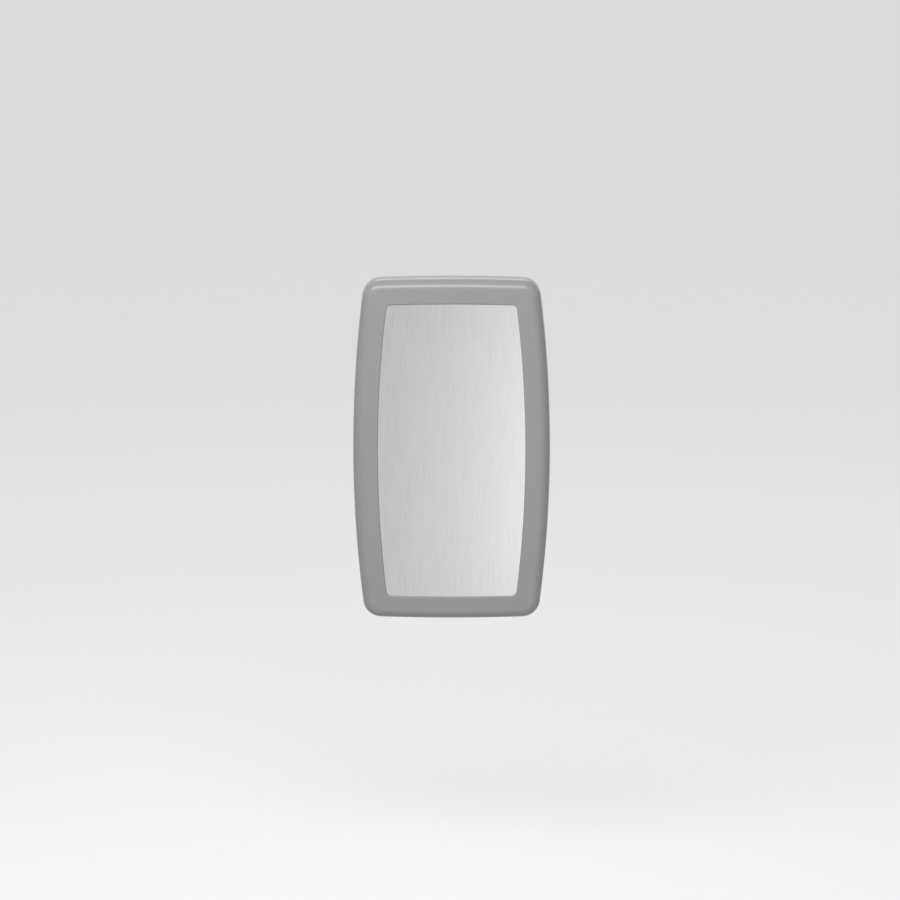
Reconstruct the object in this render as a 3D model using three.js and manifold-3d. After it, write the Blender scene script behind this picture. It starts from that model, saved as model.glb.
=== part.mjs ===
// A fold-down baby changing station for a wall, with its bed shut. Millimetres, +Z up.
// The wall is the plane y = 0 and the front looks along -Y.
// The origin is on the back of the mounting plate, at mid height and mid width.
import * as THREE from "three";
import { mergeVertices } from "three/addons/utils/BufferGeometryUtils.js";
import Module from "manifold-3d";

const wasm = await Module();
wasm.setup();

// Overall form
const HEIGHT = 920;
const WIDTH = 516;
const CLOSED_DEPTH = 102;
const SIDE_BOW = 32;
const END_BOW = 5;
const CORNER_RADIUS = 48;
const SMALLEST_CORNER = 10;
const BED_DEPTH = 51;
const PARTING_GAP = 2;
const WALL = 3;

// Clearances
const TOUCH = 0.3;
const FIT = 0.4;
const SWING = 0.5;

// Bed shell and its steel panel
const EDGE_ROUND = 26;
const FRAME_BAND = 65;
const PANEL_SET_BACK = 1.5;
const PANEL_THICKNESS = 1;
const PANEL_MARGIN = 0.8;
const ADHESIVE_THICKNESS = 0.8;
const ADHESIVE_INSET = 12;

// Tray
const FLANGE_THICKNESS = 3;
const PIT_INSET = 56;
const PIT_RUN = 110;
const PIT_DEPTH = 27;
const PIT_BOTTOM_MARGIN = 130;
const PIT_CORNER = 90;
const PIT_STEPS = 8;

// Hinge
const HINGE_RISE = 15;
const HINGE_LENGTH = 350;
const LEAF_SIDE_MARGIN = 55;
const LEAF_SHOULDER = 18;
const KNUCKLES = 9;
const KNUCKLE_RADIUS = 7;
const PIN_RADIUS = 4;
const LEAF_THICKNESS = 2.5;
const FIXED_LEAF_HEIGHT = 60;
const MOVING_LEAF_HEIGHT = 106;
const LEAF_BOLT_RADIUS = 3;
const LEAF_BOLT_HEAD = 6;

// Wall unit
const PLATE_THICKNESS = 3;
const PLATE_SIDE_MARGIN = 43;
const PLATE_CORNER = 45;
const WELL_DEPTH = 11;
const WELL_RADIUS = 12;
const MOUNT_HOLE_RADIUS = 4.5;
const MOUNT_SIDE_MARGIN = 108;
const MOUNT_END_MARGIN = 150;
const COVER_TOP_DROP = 20;
const COVER_EDGE_ROUND = 5;
const LAND_WIDTH = 24;
const RECESS_DRAFT = 4;
const BUMPER_RADIUS = 7;
const BUMPER_END_MARGIN = 160;

// Stops of the open bed
const STOP_X = 70;
const STOP_WIDTH = 44;
const STOP_GAUGE = 3;
const STOP_BUFFER = 8;

// Gas spring
const STRUT_SIDE_MARGIN = 82;
const STRUT_CLEARANCE = 3.5;
const STRUT_ANCHOR_RISE = 330;
const CRANK_RISE = 21.6;
const EYE_RADIUS = 7.5;
const EYE_THICKNESS = 10;
const STUD_RADIUS = 4;
const LUG_THICKNESS = 5;
const TUBE_RADIUS = 9.5;
const TUBE_WALL = 1.5;
const TUBE_LENGTH = 180;
const ROD_RADIUS = 4;
const ROD_PLAY = 1.6;
const GLAND_LENGTH = 10;

// Bed frame
const RAIL_SIDE_MARGIN = 64;
const RAIL_WIDTH = 16;
const RAIL_GAUGE = 2;
const RAIL_TOP_MARGIN = 65;
const CROSSBAR_TOP_MARGIN = 130;
const CROSSBAR_BOTTOM_MARGIN = 370;
const CROSSBAR_HEIGHT = 24;
const CROSSBAR_GAUGE = 1.5;
const TRAY_SCREW_TOP_MARGINS = [75, 160];
const TRAY_SCREW_BOTTOM_MARGIN = 160;
const TRAY_SCREW_RADIUS = 2;
const TRAY_SCREW_HEAD = 4.5;
const TRAY_SCREW_LENGTH = 14;

// Liner bin, lid and lock
const BIN_WIDTH = 236;
const BIN_HEIGHT = 120;
const BIN_TOP_MARGIN = 160;
const BIN_WALL = 2.5;
const SLOT_WIDTH = 170;
const SLOT_HEIGHT = 30;
const SLOT_RISE = 16;
const LID_HINGE_RADIUS = 3.2;
const LID_PIN_RADIUS = 1.5;
const LID_EAR = 13;
const LID_GAUGE = 2.3;
const LID_LIP = 30;
const LOCK_DROP = 17;
const LOCK_RADIUS = 6.5;
const LOCK_NOTCH = 20;
const BEZEL_RADIUS = 10;
const BEZEL_THICKNESS = 0.8;
const CAM_LENGTH = 13;
const CAM_WIDTH = 8;
const CAM_THICKNESS = 2;

// Bag hooks
const HOOK_SIDE_MARGIN = 108;
const HOOK_DROP = 50;
const HOOK_WIDTH = 16;
const HOOK_HEIGHT = 58;
const HOOK_GAUGE = 4;
const HOOK_TIP = 24;

// Strap and buckle
const STRAP_WIDTH = 38;
const STRAP_THICKNESS = 1.5;
const STRAP_GAP = 0.6;
const ANCHOR_LENGTH = 24;
const ANCHOR_WIDTH = 50;
const ANCHOR_THICKNESS = 2;
const STRAP_TAIL = 125;
const BUCKLE_LENGTH = 62;
const BUCKLE_WIDTH = 52;
const BUCKLE_HEIGHT = 11;
const BUCKLE_WALL = 3;
const BUCKLE_PIN_RADIUS = 2;
const LEVER_THICKNESS = 3.5;

// Planes and axes that follow from the sizes above
const TOP = HEIGHT / 2;
const BOTTOM = -HEIGHT / 2;
const FRONT = -CLOSED_DEPTH;
const BED_RIM = FRONT + BED_DEPTH;
const COVER_RIM = BED_RIM + PARTING_GAP;
const PANEL_FRONT = FRONT + PANEL_SET_BACK;
const PANEL_BACK = PANEL_FRONT + PANEL_THICKNESS;
const ADHESIVE_BACK = PANEL_BACK + TOUCH + ADHESIVE_THICKNESS;
const RECESS_FLOOR = ADHESIVE_BACK + TOUCH;
const SHELL_INSIDE = RECESS_FLOOR + WALL;
const FLANGE_FRONT = BED_RIM - FLANGE_THICKNESS;
const HINGE_Y = (BED_RIM + COVER_RIM) / 2;
const HINGE_Z = BOTTOM + HINGE_RISE;
const LEAF_FRONT = HINGE_Y - KNUCKLE_RADIUS;
const LEAF_REAR = LEAF_FRONT + LEAF_THICKNESS;
const WEB_TOP = HINGE_Z + KNUCKLE_RADIUS;
const WEB_BOTTOM = WEB_TOP - LEAF_THICKNESS;
const PLATE_FRONT = -PLATE_THICKNESS;
const FIXED_LEAF_REAR = PLATE_FRONT - TOUCH;
const FIXED_LEAF_FRONT = FIXED_LEAF_REAR - LEAF_THICKNESS;
const FLOOR_BACK = PLATE_FRONT - WELL_DEPTH;
const FLOOR = FLOOR_BACK - WALL;
const COVER_TOP = TOP - COVER_TOP_DROP;
const COVER_BOTTOM = WEB_TOP + TOUCH;
const LEAF_WIDTH = WIDTH - 2 * LEAF_SIDE_MARGIN;
const PLATE_WIDTH = WIDTH - 2 * PLATE_SIDE_MARGIN;
const MOUNT_X = WIDTH / 2 - MOUNT_SIDE_MARGIN;
const MOUNT_ROWS = [TOP - MOUNT_END_MARGIN, 0, BOTTOM + MOUNT_END_MARGIN];
const BUMPER_HEIGHT = TOP - BUMPER_END_MARGIN;
const RAIL_X = WIDTH / 2 - RAIL_SIDE_MARGIN;
const RAIL_TOP = TOP - RAIL_TOP_MARGIN;
const RAIL_REAR = LEAF_FRONT - TOUCH;
const RAIL_FRONT = SHELL_INSIDE + TOUCH;
const CROSSBAR_ROWS = [TOP - CROSSBAR_TOP_MARGIN, BOTTOM + CROSSBAR_BOTTOM_MARGIN];
const TRAY_SCREW_ROWS = [
  ...TRAY_SCREW_TOP_MARGINS.map((margin) => TOP - margin),
  BOTTOM + TRAY_SCREW_BOTTOM_MARGIN,
];
const BIN_TOP = TOP - BIN_TOP_MARGIN;
const BIN_BOTTOM = BIN_TOP - BIN_HEIGHT;
const HOOK_X = WIDTH / 2 - HOOK_SIDE_MARGIN;
const HOOK_Z = BIN_BOTTOM - HOOK_DROP;
const STRUT_X = WIDTH / 2 - STRUT_SIDE_MARGIN;
const STRUT_Y = FLOOR - TUBE_RADIUS - STRUT_CLEARANCE;
const STRUT_TOP_Z = HINGE_Z + STRUT_ANCHOR_RISE;
const CRANK_Z = HINGE_Z + CRANK_RISE;
const SIDE_RADIUS = ((HEIGHT / 2) ** 2 + SIDE_BOW ** 2) / (2 * SIDE_BOW);
const END_HALF_WIDTH = WIDTH / 2 - SIDE_BOW;
const END_RADIUS = (END_HALF_WIDTH ** 2 + END_BOW ** 2) / (2 * END_BOW);

// Materials
const greyPlastic = new THREE.MeshStandardMaterial({ color: 0x9c9c9c, roughness: 0.5, metalness: 0 });
const brushedSteel = new THREE.MeshStandardMaterial({ color: 0xc9c9c9, roughness: 0.35, metalness: 1 });
const zincSteel = new THREE.MeshStandardMaterial({ color: 0x9ea2a6, roughness: 0.45, metalness: 1 });
const blackSteel = new THREE.MeshStandardMaterial({ color: 0x26272a, roughness: 0.4, metalness: 0.2 });
const chrome = new THREE.MeshStandardMaterial({ color: 0xd4d6d8, roughness: 0.12, metalness: 1 });
const blackRubber = new THREE.MeshStandardMaterial({ color: 0x1c1c1c, roughness: 0.85, metalness: 0 });
const nylon = new THREE.MeshStandardMaterial({ color: 0xd9d7d0, roughness: 0.6, metalness: 0 });
const webbing = new THREE.MeshStandardMaterial({ color: 0x2e3238, roughness: 0.9, metalness: 0 });
const adhesiveFoam = new THREE.MeshStandardMaterial({ color: 0xe6e2d6, roughness: 0.8, metalness: 0 });
const buckleBlack = new THREE.MeshStandardMaterial({ color: 0x2a2a2c, roughness: 0.45, metalness: 0 });

const group = new THREE.Group();

function piece(name, geometry, material) {
  const bare = geometry.index ? geometry : mergeVertices(geometry);
  bare.computeVertexNormals();
  const mesh = new THREE.Mesh(bare, material);
  mesh.name = name;
  group.add(mesh);
}

// Joining and cutting closed solids
function toSolid(geometry) {
  const bare = new THREE.BufferGeometry();
  bare.setAttribute("position", geometry.getAttribute("position").clone());
  if (geometry.index) bare.setIndex(geometry.index.clone());
  const merged = mergeVertices(bare);
  const vertProperties = new Float32Array(merged.getAttribute("position").array);
  const triVerts = new Uint32Array(merged.index.array);
  return new wasm.Manifold(new wasm.Mesh({ numProp: 3, vertProperties, triVerts }));
}

function toGeometry(solid) {
  const mesh = solid.getMesh();
  const geometry = new THREE.BufferGeometry();
  geometry.setAttribute("position", new THREE.BufferAttribute(new Float32Array(mesh.vertProperties), 3));
  geometry.setIndex(new THREE.BufferAttribute(new Uint32Array(mesh.triVerts), 1));
  return geometry;
}

function join(first, ...others) {
  return toGeometry(others.reduce((sum, other) => sum.add(toSolid(other)), toSolid(first)));
}

function cut(first, ...others) {
  return toGeometry(others.reduce((rest, other) => rest.subtract(toSolid(other)), toSolid(first)));
}

// Simple solids, placed by their limits
function block([x0, x1], [y0, y1], [z0, z1]) {
  const box = new THREE.BoxGeometry(x1 - x0, y1 - y0, z1 - z0);
  return box.translate((x0 + x1) / 2, (y0 + y1) / 2, (z0 + z1) / 2);
}

function roundAlongX(radius, [x0, x1], y, z, sides = 20) {
  const round = new THREE.CylinderGeometry(radius, radius, x1 - x0, sides);
  return round.rotateZ(Math.PI / 2).translate((x0 + x1) / 2, y, z);
}

function roundAlongY(radius, x, [y0, y1], z, sides = 20) {
  return new THREE.CylinderGeometry(radius, radius, y1 - y0, sides).translate(x, (y0 + y1) / 2, z);
}

function roundAlongZ(radius, x, y, [z0, z1], sides = 20) {
  const round = new THREE.CylinderGeometry(radius, radius, z1 - z0, sides);
  return round.rotateX(Math.PI / 2).translate(x, y, (z0 + z1) / 2);
}

function polygon(points) {
  return new THREE.Shape(points.map(([u, v]) => new THREE.Vector2(u, v)));
}

// A profile drawn in y and z, run along X
function runAlongX(shape, [x0, x1]) {
  const run = new THREE.ExtrudeGeometry(shape, { depth: x1 - x0, bevelEnabled: false, curveSegments: 10 });
  const axes = new THREE.Matrix4().makeBasis(
    new THREE.Vector3(0, 1, 0),
    new THREE.Vector3(0, 0, 1),
    new THREE.Vector3(1, 0, 0),
  );
  return run.applyMatrix4(axes).translate(x0, 0, 0);
}

// A profile drawn in x and z, run along Y
function runAlongY(shape, [y0, y1]) {
  const run = new THREE.ExtrudeGeometry(shape, { depth: y1 - y0, bevelEnabled: false, curveSegments: 6 });
  const axes = new THREE.Matrix4().makeBasis(
    new THREE.Vector3(1, 0, 0),
    new THREE.Vector3(0, 0, 1),
    new THREE.Vector3(0, -1, 0),
  );
  return run.applyMatrix4(axes).translate(0, y1, 0);
}

// A profile drawn in x and y, run along Z
function runAlongZ(shape, [z0, z1]) {
  const run = new THREE.ExtrudeGeometry(shape, { depth: z1 - z0, bevelEnabled: false, curveSegments: 6 });
  return run.translate(0, 0, z0);
}

function roundedRectangle(width, height, radius, centreX = 0, centreZ = 0) {
  const shape = new THREE.Shape();
  const right = centreX + width / 2 - radius;
  const left = centreX - width / 2 + radius;
  const high = centreZ + height / 2 - radius;
  const low = centreZ - height / 2 + radius;
  shape.absarc(right, low, radius, -Math.PI / 2, 0, false);
  shape.absarc(right, high, radius, 0, Math.PI / 2, false);
  shape.absarc(left, high, radius, Math.PI / 2, Math.PI, false);
  shape.absarc(left, low, radius, Math.PI, 1.5 * Math.PI, false);
  shape.closePath();
  return shape;
}

// The barrel outline: bowed sides and ends with rounded corners.
// side is how far the sides are brought in, top and bottom are the heights of the two ends.
function cornerCentre(sideCentre, sideReach, endCentre, endReach) {
  const across = endCentre.clone().sub(sideCentre);
  const span = across.length();
  across.divideScalar(span);
  const along = (sideReach ** 2 - endReach ** 2 + span ** 2) / (2 * span);
  const off = Math.sqrt(sideReach ** 2 - along ** 2);
  const foot = sideCentre.clone().addScaledVector(across, along);
  const normal = new THREE.Vector2(-across.y, across.x);
  const one = foot.clone().addScaledVector(normal, off);
  const two = foot.clone().addScaledVector(normal, -off);
  return one.x > two.x ? one : two;
}

function arc(x, z, radius, from, to, steps) {
  const curve = new THREE.EllipseCurve(x, z, radius, radius, from, to, false, 0);
  return curve.getPoints(steps).slice(0, -1);
}

function outline({ side = 0, top = TOP, bottom = BOTTOM, corner = CORNER_RADIUS }) {
  const radius = Math.max(corner, SMALLEST_CORNER);
  const sideRadius = SIDE_RADIUS - side;
  const sideCentre = new THREE.Vector2(WIDTH / 2 - SIDE_RADIUS, 0);
  const highCentre = new THREE.Vector2(0, top - END_RADIUS);
  const lowCentre = new THREE.Vector2(0, bottom + END_RADIUS);
  const high = cornerCentre(sideCentre, sideRadius - radius, highCentre, END_RADIUS - radius);
  const low = cornerCentre(sideCentre, sideRadius - radius, lowCentre, END_RADIUS - radius);
  const sideHigh = high.clone().sub(sideCentre).angle();
  const sideLow = low.clone().sub(sideCentre).angle() - 2 * Math.PI;
  const endHigh = high.clone().sub(highCentre).angle();
  const endLow = low.clone().sub(lowCentre).angle() - 2 * Math.PI;
  const turn = 2 * Math.PI;
  return [
    ...arc(sideCentre.x, 0, sideRadius, sideLow, sideHigh, 8),
    ...arc(high.x, high.y, radius, sideHigh, endHigh, 6),
    ...arc(0, highCentre.y, END_RADIUS, endHigh, Math.PI - endHigh, 4),
    ...arc(-high.x, high.y, radius, Math.PI - endHigh, Math.PI - sideHigh, 6),
    ...arc(-sideCentre.x, 0, sideRadius, Math.PI - sideHigh, Math.PI - sideLow, 8),
    ...arc(-low.x, low.y, radius, Math.PI - sideLow, Math.PI - endLow, 6),
    ...arc(0, lowCentre.y, END_RADIUS, Math.PI - endLow, turn + endLow, 4),
    ...arc(low.x, low.y, radius, turn + endLow, turn + sideLow, 6),
  ];
}

function inset(distance) {
  return outline({
    side: distance,
    top: TOP - distance,
    bottom: BOTTOM + distance,
    corner: CORNER_RADIUS - distance,
  });
}

function halfWidth(z) {
  return WIDTH / 2 - SIDE_RADIUS + Math.sqrt(SIDE_RADIUS ** 2 - z ** 2);
}

// A closed body through rings of points, each ring at one depth y, closed flat at both ends
function loft(rings) {
  const count = rings[0].points.length;
  const positions = rings.flatMap(({ points, y }) => points.flatMap((point) => [point.x, y, point.y]));
  const triangles = [];
  for (let ring = 0; ring + 1 < rings.length; ring++) {
    for (let i = 0; i < count; i++) {
      const a = ring * count + i;
      const b = ring * count + ((i + 1) % count);
      triangles.push([a, b, b + count], [a, b + count, a + count]);
    }
  }
  const last = (rings.length - 1) * count;
  for (const [i, j, k] of THREE.ShapeUtils.triangulateShape(rings[0].points, [])) {
    triangles.push([i, k, j]);
  }
  for (const [i, j, k] of THREE.ShapeUtils.triangulateShape(rings[rings.length - 1].points, [])) {
    triangles.push([last + i, last + j, last + k]);
  }
  const corner = (i) => new THREE.Vector3().fromArray(positions, 3 * i);
  const volume = triangles.reduce((sum, [i, j, k]) => sum + corner(i).dot(corner(j).cross(corner(k))), 0);
  const outward = volume > 0 ? triangles : triangles.map(([i, j, k]) => [i, k, j]);
  const geometry = new THREE.BufferGeometry();
  geometry.setAttribute("position", new THREE.Float32BufferAttribute(positions, 3));
  geometry.setIndex(outward.flat());
  return geometry;
}

// Bed shell: rounded edge, flat band, recess for the panel, and the same again on the inside
function bedShell() {
  const steps = 6;
  const quarter = Array.from({ length: steps + 1 }, (_, i) => (i / steps) * (Math.PI / 2));
  const outside = quarter.map((angle) => ({
    points: inset(EDGE_ROUND * (1 - Math.sin(angle))),
    y: FRONT + EDGE_ROUND * (1 - Math.cos(angle)),
  }));
  const inner = EDGE_ROUND - WALL;
  const inside = quarter.map((angle) => ({
    points: inset(EDGE_ROUND - inner * Math.sin(angle)),
    y: FRONT + EDGE_ROUND - inner * Math.cos(angle),
  }));
  return loft([
    { points: inset(FRAME_BAND), y: RECESS_FLOOR },
    { points: inset(FRAME_BAND), y: FRONT },
    ...outside,
    { points: inset(0), y: BED_RIM },
    { points: inset(WALL), y: BED_RIM },
    ...inside.reverse(),
    { points: inset(FRAME_BAND - WALL), y: FRONT + WALL },
    { points: inset(FRAME_BAND - WALL), y: SHELL_INSIDE },
  ]);
}

// Tray: a flat flange around a dished pit
function pitDepth(step) {
  return (PIT_DEPTH * (1 - Math.cos((Math.PI * step) / PIT_STEPS))) / 2;
}

function pitRing(step) {
  const run = (PIT_RUN * step) / PIT_STEPS;
  return outline({
    side: PIT_INSET + run,
    top: TOP - PIT_INSET - run,
    bottom: BOTTOM + PIT_BOTTOM_MARGIN + run,
    corner: PIT_CORNER - run * 0.6,
  });
}

function tray() {
  const steps = Array.from({ length: PIT_STEPS + 1 }, (_, i) => i);
  const edge = WALL + FIT;
  const flange = outline({
    side: edge,
    top: TOP - edge,
    bottom: HINGE_Z + KNUCKLE_RADIUS + PARTING_GAP,
    corner: CORNER_RADIUS - edge,
  });
  const upper = steps.map((step) => ({ points: pitRing(step), y: BED_RIM - pitDepth(step) }));
  const lower = steps.map((step) => ({ points: pitRing(step), y: FLANGE_FRONT - pitDepth(step) }));
  const dish = loft([
    ...upper.reverse(),
    { points: flange, y: BED_RIM },
    { points: flange, y: FLANGE_FRONT },
    ...lower,
  ]);
  const spots = traySpots();
  const bosses = spots.map(([x, z]) => roundAlongY(6, x, [RAIL_REAR + TOUCH, FLANGE_FRONT + 1], z, 16));
  const through = [RAIL_REAR, BED_RIM + 1];
  const holes = spots.map(([x, z]) => roundAlongY(TRAY_SCREW_RADIUS + TOUCH, x, through, z, 12));
  const crankSide = [crankLug()[0] - SWING, crankLug()[1] + SWING];
  const crankSlot = block(crankSide, [FLANGE_FRONT - 1, BED_RIM + 1], [HINGE_Z, CRANK_Z + EYE_RADIUS + 3]);
  return cut(join(dish, ...bosses), ...holes, crankSlot);
}

function traySpots() {
  return TRAY_SCREW_ROWS.flatMap((z) => [
    [-RAIL_X, z],
    [RAIL_X, z],
  ]);
}

function crankLug() {
  const right = STRUT_X - EYE_THICKNESS / 2 - TOUCH;
  return [right - LUG_THICKNESS, right];
}

piece("bed_outer_shell", bedShell(), greyPlastic);
piece(
  "front_panel",
  loft([
    { points: inset(FRAME_BAND + PANEL_MARGIN), y: PANEL_FRONT },
    { points: inset(FRAME_BAND + PANEL_MARGIN), y: PANEL_BACK },
  ]),
  brushedSteel,
);
piece(
  "panel_adhesive",
  loft([
    { points: inset(FRAME_BAND + ADHESIVE_INSET), y: PANEL_BACK + TOUCH },
    { points: inset(FRAME_BAND + ADHESIVE_INSET), y: ADHESIVE_BACK },
  ]),
  adhesiveFoam,
);
piece("bed_tray", tray(), greyPlastic);

// Tray screws, through the flange and its boss into the rails
traySpots().forEach(([x, z], i) => {
  const head = roundAlongY(TRAY_SCREW_HEAD, x, [BED_RIM + TOUCH, BED_RIM + TOUCH + 1.5], z, 14);
  const shank = roundAlongY(TRAY_SCREW_RADIUS, x, [BED_RIM - TRAY_SCREW_LENGTH, BED_RIM + 1], z, 10);
  piece(`tray_screw_${i + 1}`, join(head, shank), zincSteel);
});

// Bed rails: channels that open towards the middle
function bedRail(hand) {
  const outer = RAIL_X + RAIL_WIDTH / 2;
  const inner = RAIL_X - RAIL_WIDTH / 2;
  const profile = [
    [inner, RAIL_FRONT],
    [outer, RAIL_FRONT],
    [outer, RAIL_REAR],
    [inner, RAIL_REAR],
    [inner, RAIL_REAR - RAIL_GAUGE],
    [outer - RAIL_GAUGE, RAIL_REAR - RAIL_GAUGE],
    [outer - RAIL_GAUGE, RAIL_FRONT + RAIL_GAUGE],
    [inner, RAIL_FRONT + RAIL_GAUGE],
  ];
  const points = profile.map(([x, y]) => [hand * x, y]);
  const channel = runAlongZ(polygon(points), [HINGE_Z + LEAF_SHOULDER, RAIL_TOP]);
  const holes = TRAY_SCREW_ROWS.map((z) =>
    roundAlongY(TRAY_SCREW_RADIUS + TOUCH, hand * RAIL_X, [RAIL_REAR - RAIL_GAUGE - 1, RAIL_REAR + 1], z, 12),
  );
  return cut(channel, ...holes);
}

piece("bed_rail_left", bedRail(-1), zincSteel);
piece("bed_rail_right", bedRail(1), zincSteel);

// Cross bars under the pit, between the rails
function crossbar(z) {
  const rear = FLANGE_FRONT - PIT_DEPTH - TOUCH;
  const low = z - CROSSBAR_HEIGHT / 2;
  const high = z + CROSSBAR_HEIGHT / 2;
  const profile = [
    [RAIL_FRONT, low],
    [rear, low],
    [rear, high],
    [RAIL_FRONT, high],
    [RAIL_FRONT, high - CROSSBAR_GAUGE],
    [rear - CROSSBAR_GAUGE, high - CROSSBAR_GAUGE],
    [rear - CROSSBAR_GAUGE, low + CROSSBAR_GAUGE],
    [RAIL_FRONT, low + CROSSBAR_GAUGE],
  ];
  const reach = RAIL_X - RAIL_WIDTH / 2 - TOUCH;
  return runAlongX(polygon(profile), [-reach, reach]);
}

piece("bed_crossbar_upper", crossbar(CROSSBAR_ROWS[0]), zincSteel);
piece("bed_crossbar_lower", crossbar(CROSSBAR_ROWS[1]), zincSteel);

// Hinge leaves: a barrel along the whole length, notched where the other leaf has its knuckles
const KNUCKLE_PITCH = HINGE_LENGTH / KNUCKLES;

function barrel() {
  const ring = new THREE.Shape().absarc(HINGE_Y, HINGE_Z, KNUCKLE_RADIUS, 0, 2 * Math.PI, false);
  return runAlongX(ring, [-HINGE_LENGTH / 2, HINGE_LENGTH / 2]);
}

function pinBore() {
  const half = HINGE_LENGTH / 2 + 1;
  return roundAlongX(PIN_RADIUS + TOUCH, [-half, half], HINGE_Y, HINGE_Z);
}

function knuckleNotches(first) {
  const notches = [];
  for (let i = first; i < KNUCKLES; i += 2) {
    const x0 = -HINGE_LENGTH / 2 + i * KNUCKLE_PITCH - SWING / 2;
    const reach = KNUCKLE_RADIUS + SWING;
    notches.push(
      block(
        [x0, x0 + KNUCKLE_PITCH + SWING],
        [HINGE_Y - reach, HINGE_Y + reach],
        [HINGE_Z - reach, HINGE_Z + reach],
      ),
    );
  }
  return notches;
}

function leafBoltSpots() {
  const z = (WEB_TOP + HINGE_Z + FIXED_LEAF_HEIGHT) / 2;
  return [-0.45, -0.15, 0.15, 0.45].map((share) => [share * HINGE_LENGTH, z]);
}

function fixedLeaf() {
  const half = HINGE_LENGTH / 2;
  const web = block([-half, half], [HINGE_Y, FIXED_LEAF_REAR], [WEB_BOTTOM, WEB_TOP]);
  const upright = block(
    [-half, half],
    [FIXED_LEAF_FRONT, FIXED_LEAF_REAR],
    [WEB_BOTTOM, HINGE_Z + FIXED_LEAF_HEIGHT],
  );
  const holes = leafBoltSpots().map(([x, z]) =>
    roundAlongY(LEAF_BOLT_RADIUS + TOUCH, x, [FIXED_LEAF_FRONT - 1, FIXED_LEAF_REAR + 1], z, 12),
  );
  return cut(join(barrel(), web, upright), pinBore(), ...knuckleNotches(1), ...holes);
}

function movingLeaf() {
  const half = HINGE_LENGTH / 2;
  const wide = LEAF_WIDTH / 2;
  const top = HINGE_Z + MOVING_LEAF_HEIGHT;
  const tongue = block([-half, half], [LEAF_FRONT, LEAF_REAR], [HINGE_Z, top]);
  const sheet = block([-wide, wide], [LEAF_FRONT, LEAF_REAR], [HINGE_Z + LEAF_SHOULDER, top]);
  return cut(join(barrel(), tongue, sheet), pinBore(), ...knuckleNotches(0));
}

piece("fixed_hinge_leaf", fixedLeaf(), zincSteel);
piece("moving_hinge_leaf", movingLeaf(), zincSteel);
piece(
  "hinge_pin",
  roundAlongX(PIN_RADIUS, [-HINGE_LENGTH / 2, HINGE_LENGTH / 2], HINGE_Y, HINGE_Z),
  zincSteel,
);
leafBoltSpots().forEach(([x, z], i) => {
  const under = FIXED_LEAF_FRONT - TOUCH;
  const head = roundAlongY(LEAF_BOLT_HEAD, x, [under - 3.5, under], z, 6);
  const shank = roundAlongY(LEAF_BOLT_RADIUS, x, [under - 1, -TOUCH], z, 12);
  piece(`leaf_bolt_${i + 1}`, join(head, shank), zincSteel);
});

// Mounting plate
function mountSpots() {
  return MOUNT_ROWS.flatMap((z) => [
    [-MOUNT_X, z],
    [MOUNT_X, z],
  ]);
}

function mountingPlate() {
  const margin = WALL + END_BOW + PARTING_GAP;
  const low = COVER_BOTTOM + margin;
  const high = COVER_TOP - margin;
  const shape = roundedRectangle(PLATE_WIDTH, high - low, PLATE_CORNER, 0, (high + low) / 2);
  const plate = runAlongY(shape, [PLATE_FRONT, 0]);
  const through = [PLATE_FRONT - 1, 1];
  const mountHoles = mountSpots().map(([x, z]) => roundAlongY(MOUNT_HOLE_RADIUS, x, through, z, 16));
  const boltHoles = leafBoltSpots().map(([x, z]) => roundAlongY(LEAF_BOLT_RADIUS + TOUCH, x, through, z, 12));
  return cut(plate, ...mountHoles, ...boltHoles);
}

piece("mounting_plate", mountingPlate(), zincSteel);

// Rear cover: side walls to the building wall, a land that faces the bed, and a recess
function coverRing(side, y, bottom = COVER_BOTTOM) {
  return { points: outline({ side, top: COVER_TOP - side, bottom, corner: CORNER_RADIUS - side }), y };
}

function rearCover() {
  const steps = 3;
  const edge = Array.from({ length: steps + 1 }, (_, i) => {
    const angle = (i / steps) * (Math.PI / 2);
    const side = COVER_EDGE_ROUND * (1 - Math.sin(angle));
    return coverRing(side, COVER_RIM + COVER_EDGE_ROUND * (1 - Math.cos(angle)));
  });
  const recessBottom = COVER_BOTTOM + WALL;
  const body = loft([...edge, coverRing(0, 0)]);
  const recess = loft([
    coverRing(LAND_WIDTH, COVER_RIM - 1, recessBottom),
    coverRing(LAND_WIDTH + RECESS_DRAFT, FLOOR, recessBottom),
  ]);
  const recessBack = loft([
    coverRing(LAND_WIDTH - WALL, COVER_RIM, COVER_BOTTOM - 1),
    coverRing(LAND_WIDTH + RECESS_DRAFT - WALL, FLOOR_BACK, COVER_BOTTOM - 1),
  ]);
  const hollow = loft([coverRing(WALL, COVER_RIM + WALL, recessBottom), coverRing(WALL, 1, recessBottom)]);
  const leafHalf = HINGE_LENGTH / 2 + SWING;
  const slotTop = recessBottom + 2 * END_BOW;
  const leafSlot = block([-leafHalf, leafHalf], [FIXED_LEAF_FRONT - TOUCH, 1], [HINGE_Z, slotTop]);
  const wellEnd = PLATE_FRONT - TOUCH;
  const wells = mountSpots().map(([x, z]) => roundAlongY(WELL_RADIUS + WALL, x, [FLOOR + 1, wellEnd], z));
  const wellHoles = mountSpots().map(([x, z]) => roundAlongY(WELL_RADIUS, x, [FLOOR - 1, wellEnd + 1], z));
  const shell = cut(body, recess, cut(hollow, recessBack), leafSlot);
  return cut(join(shell, ...wells.map((well) => cut(well, recess))), ...wellHoles);
}

piece("rear_cover", rearCover(), greyPlastic);

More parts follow.
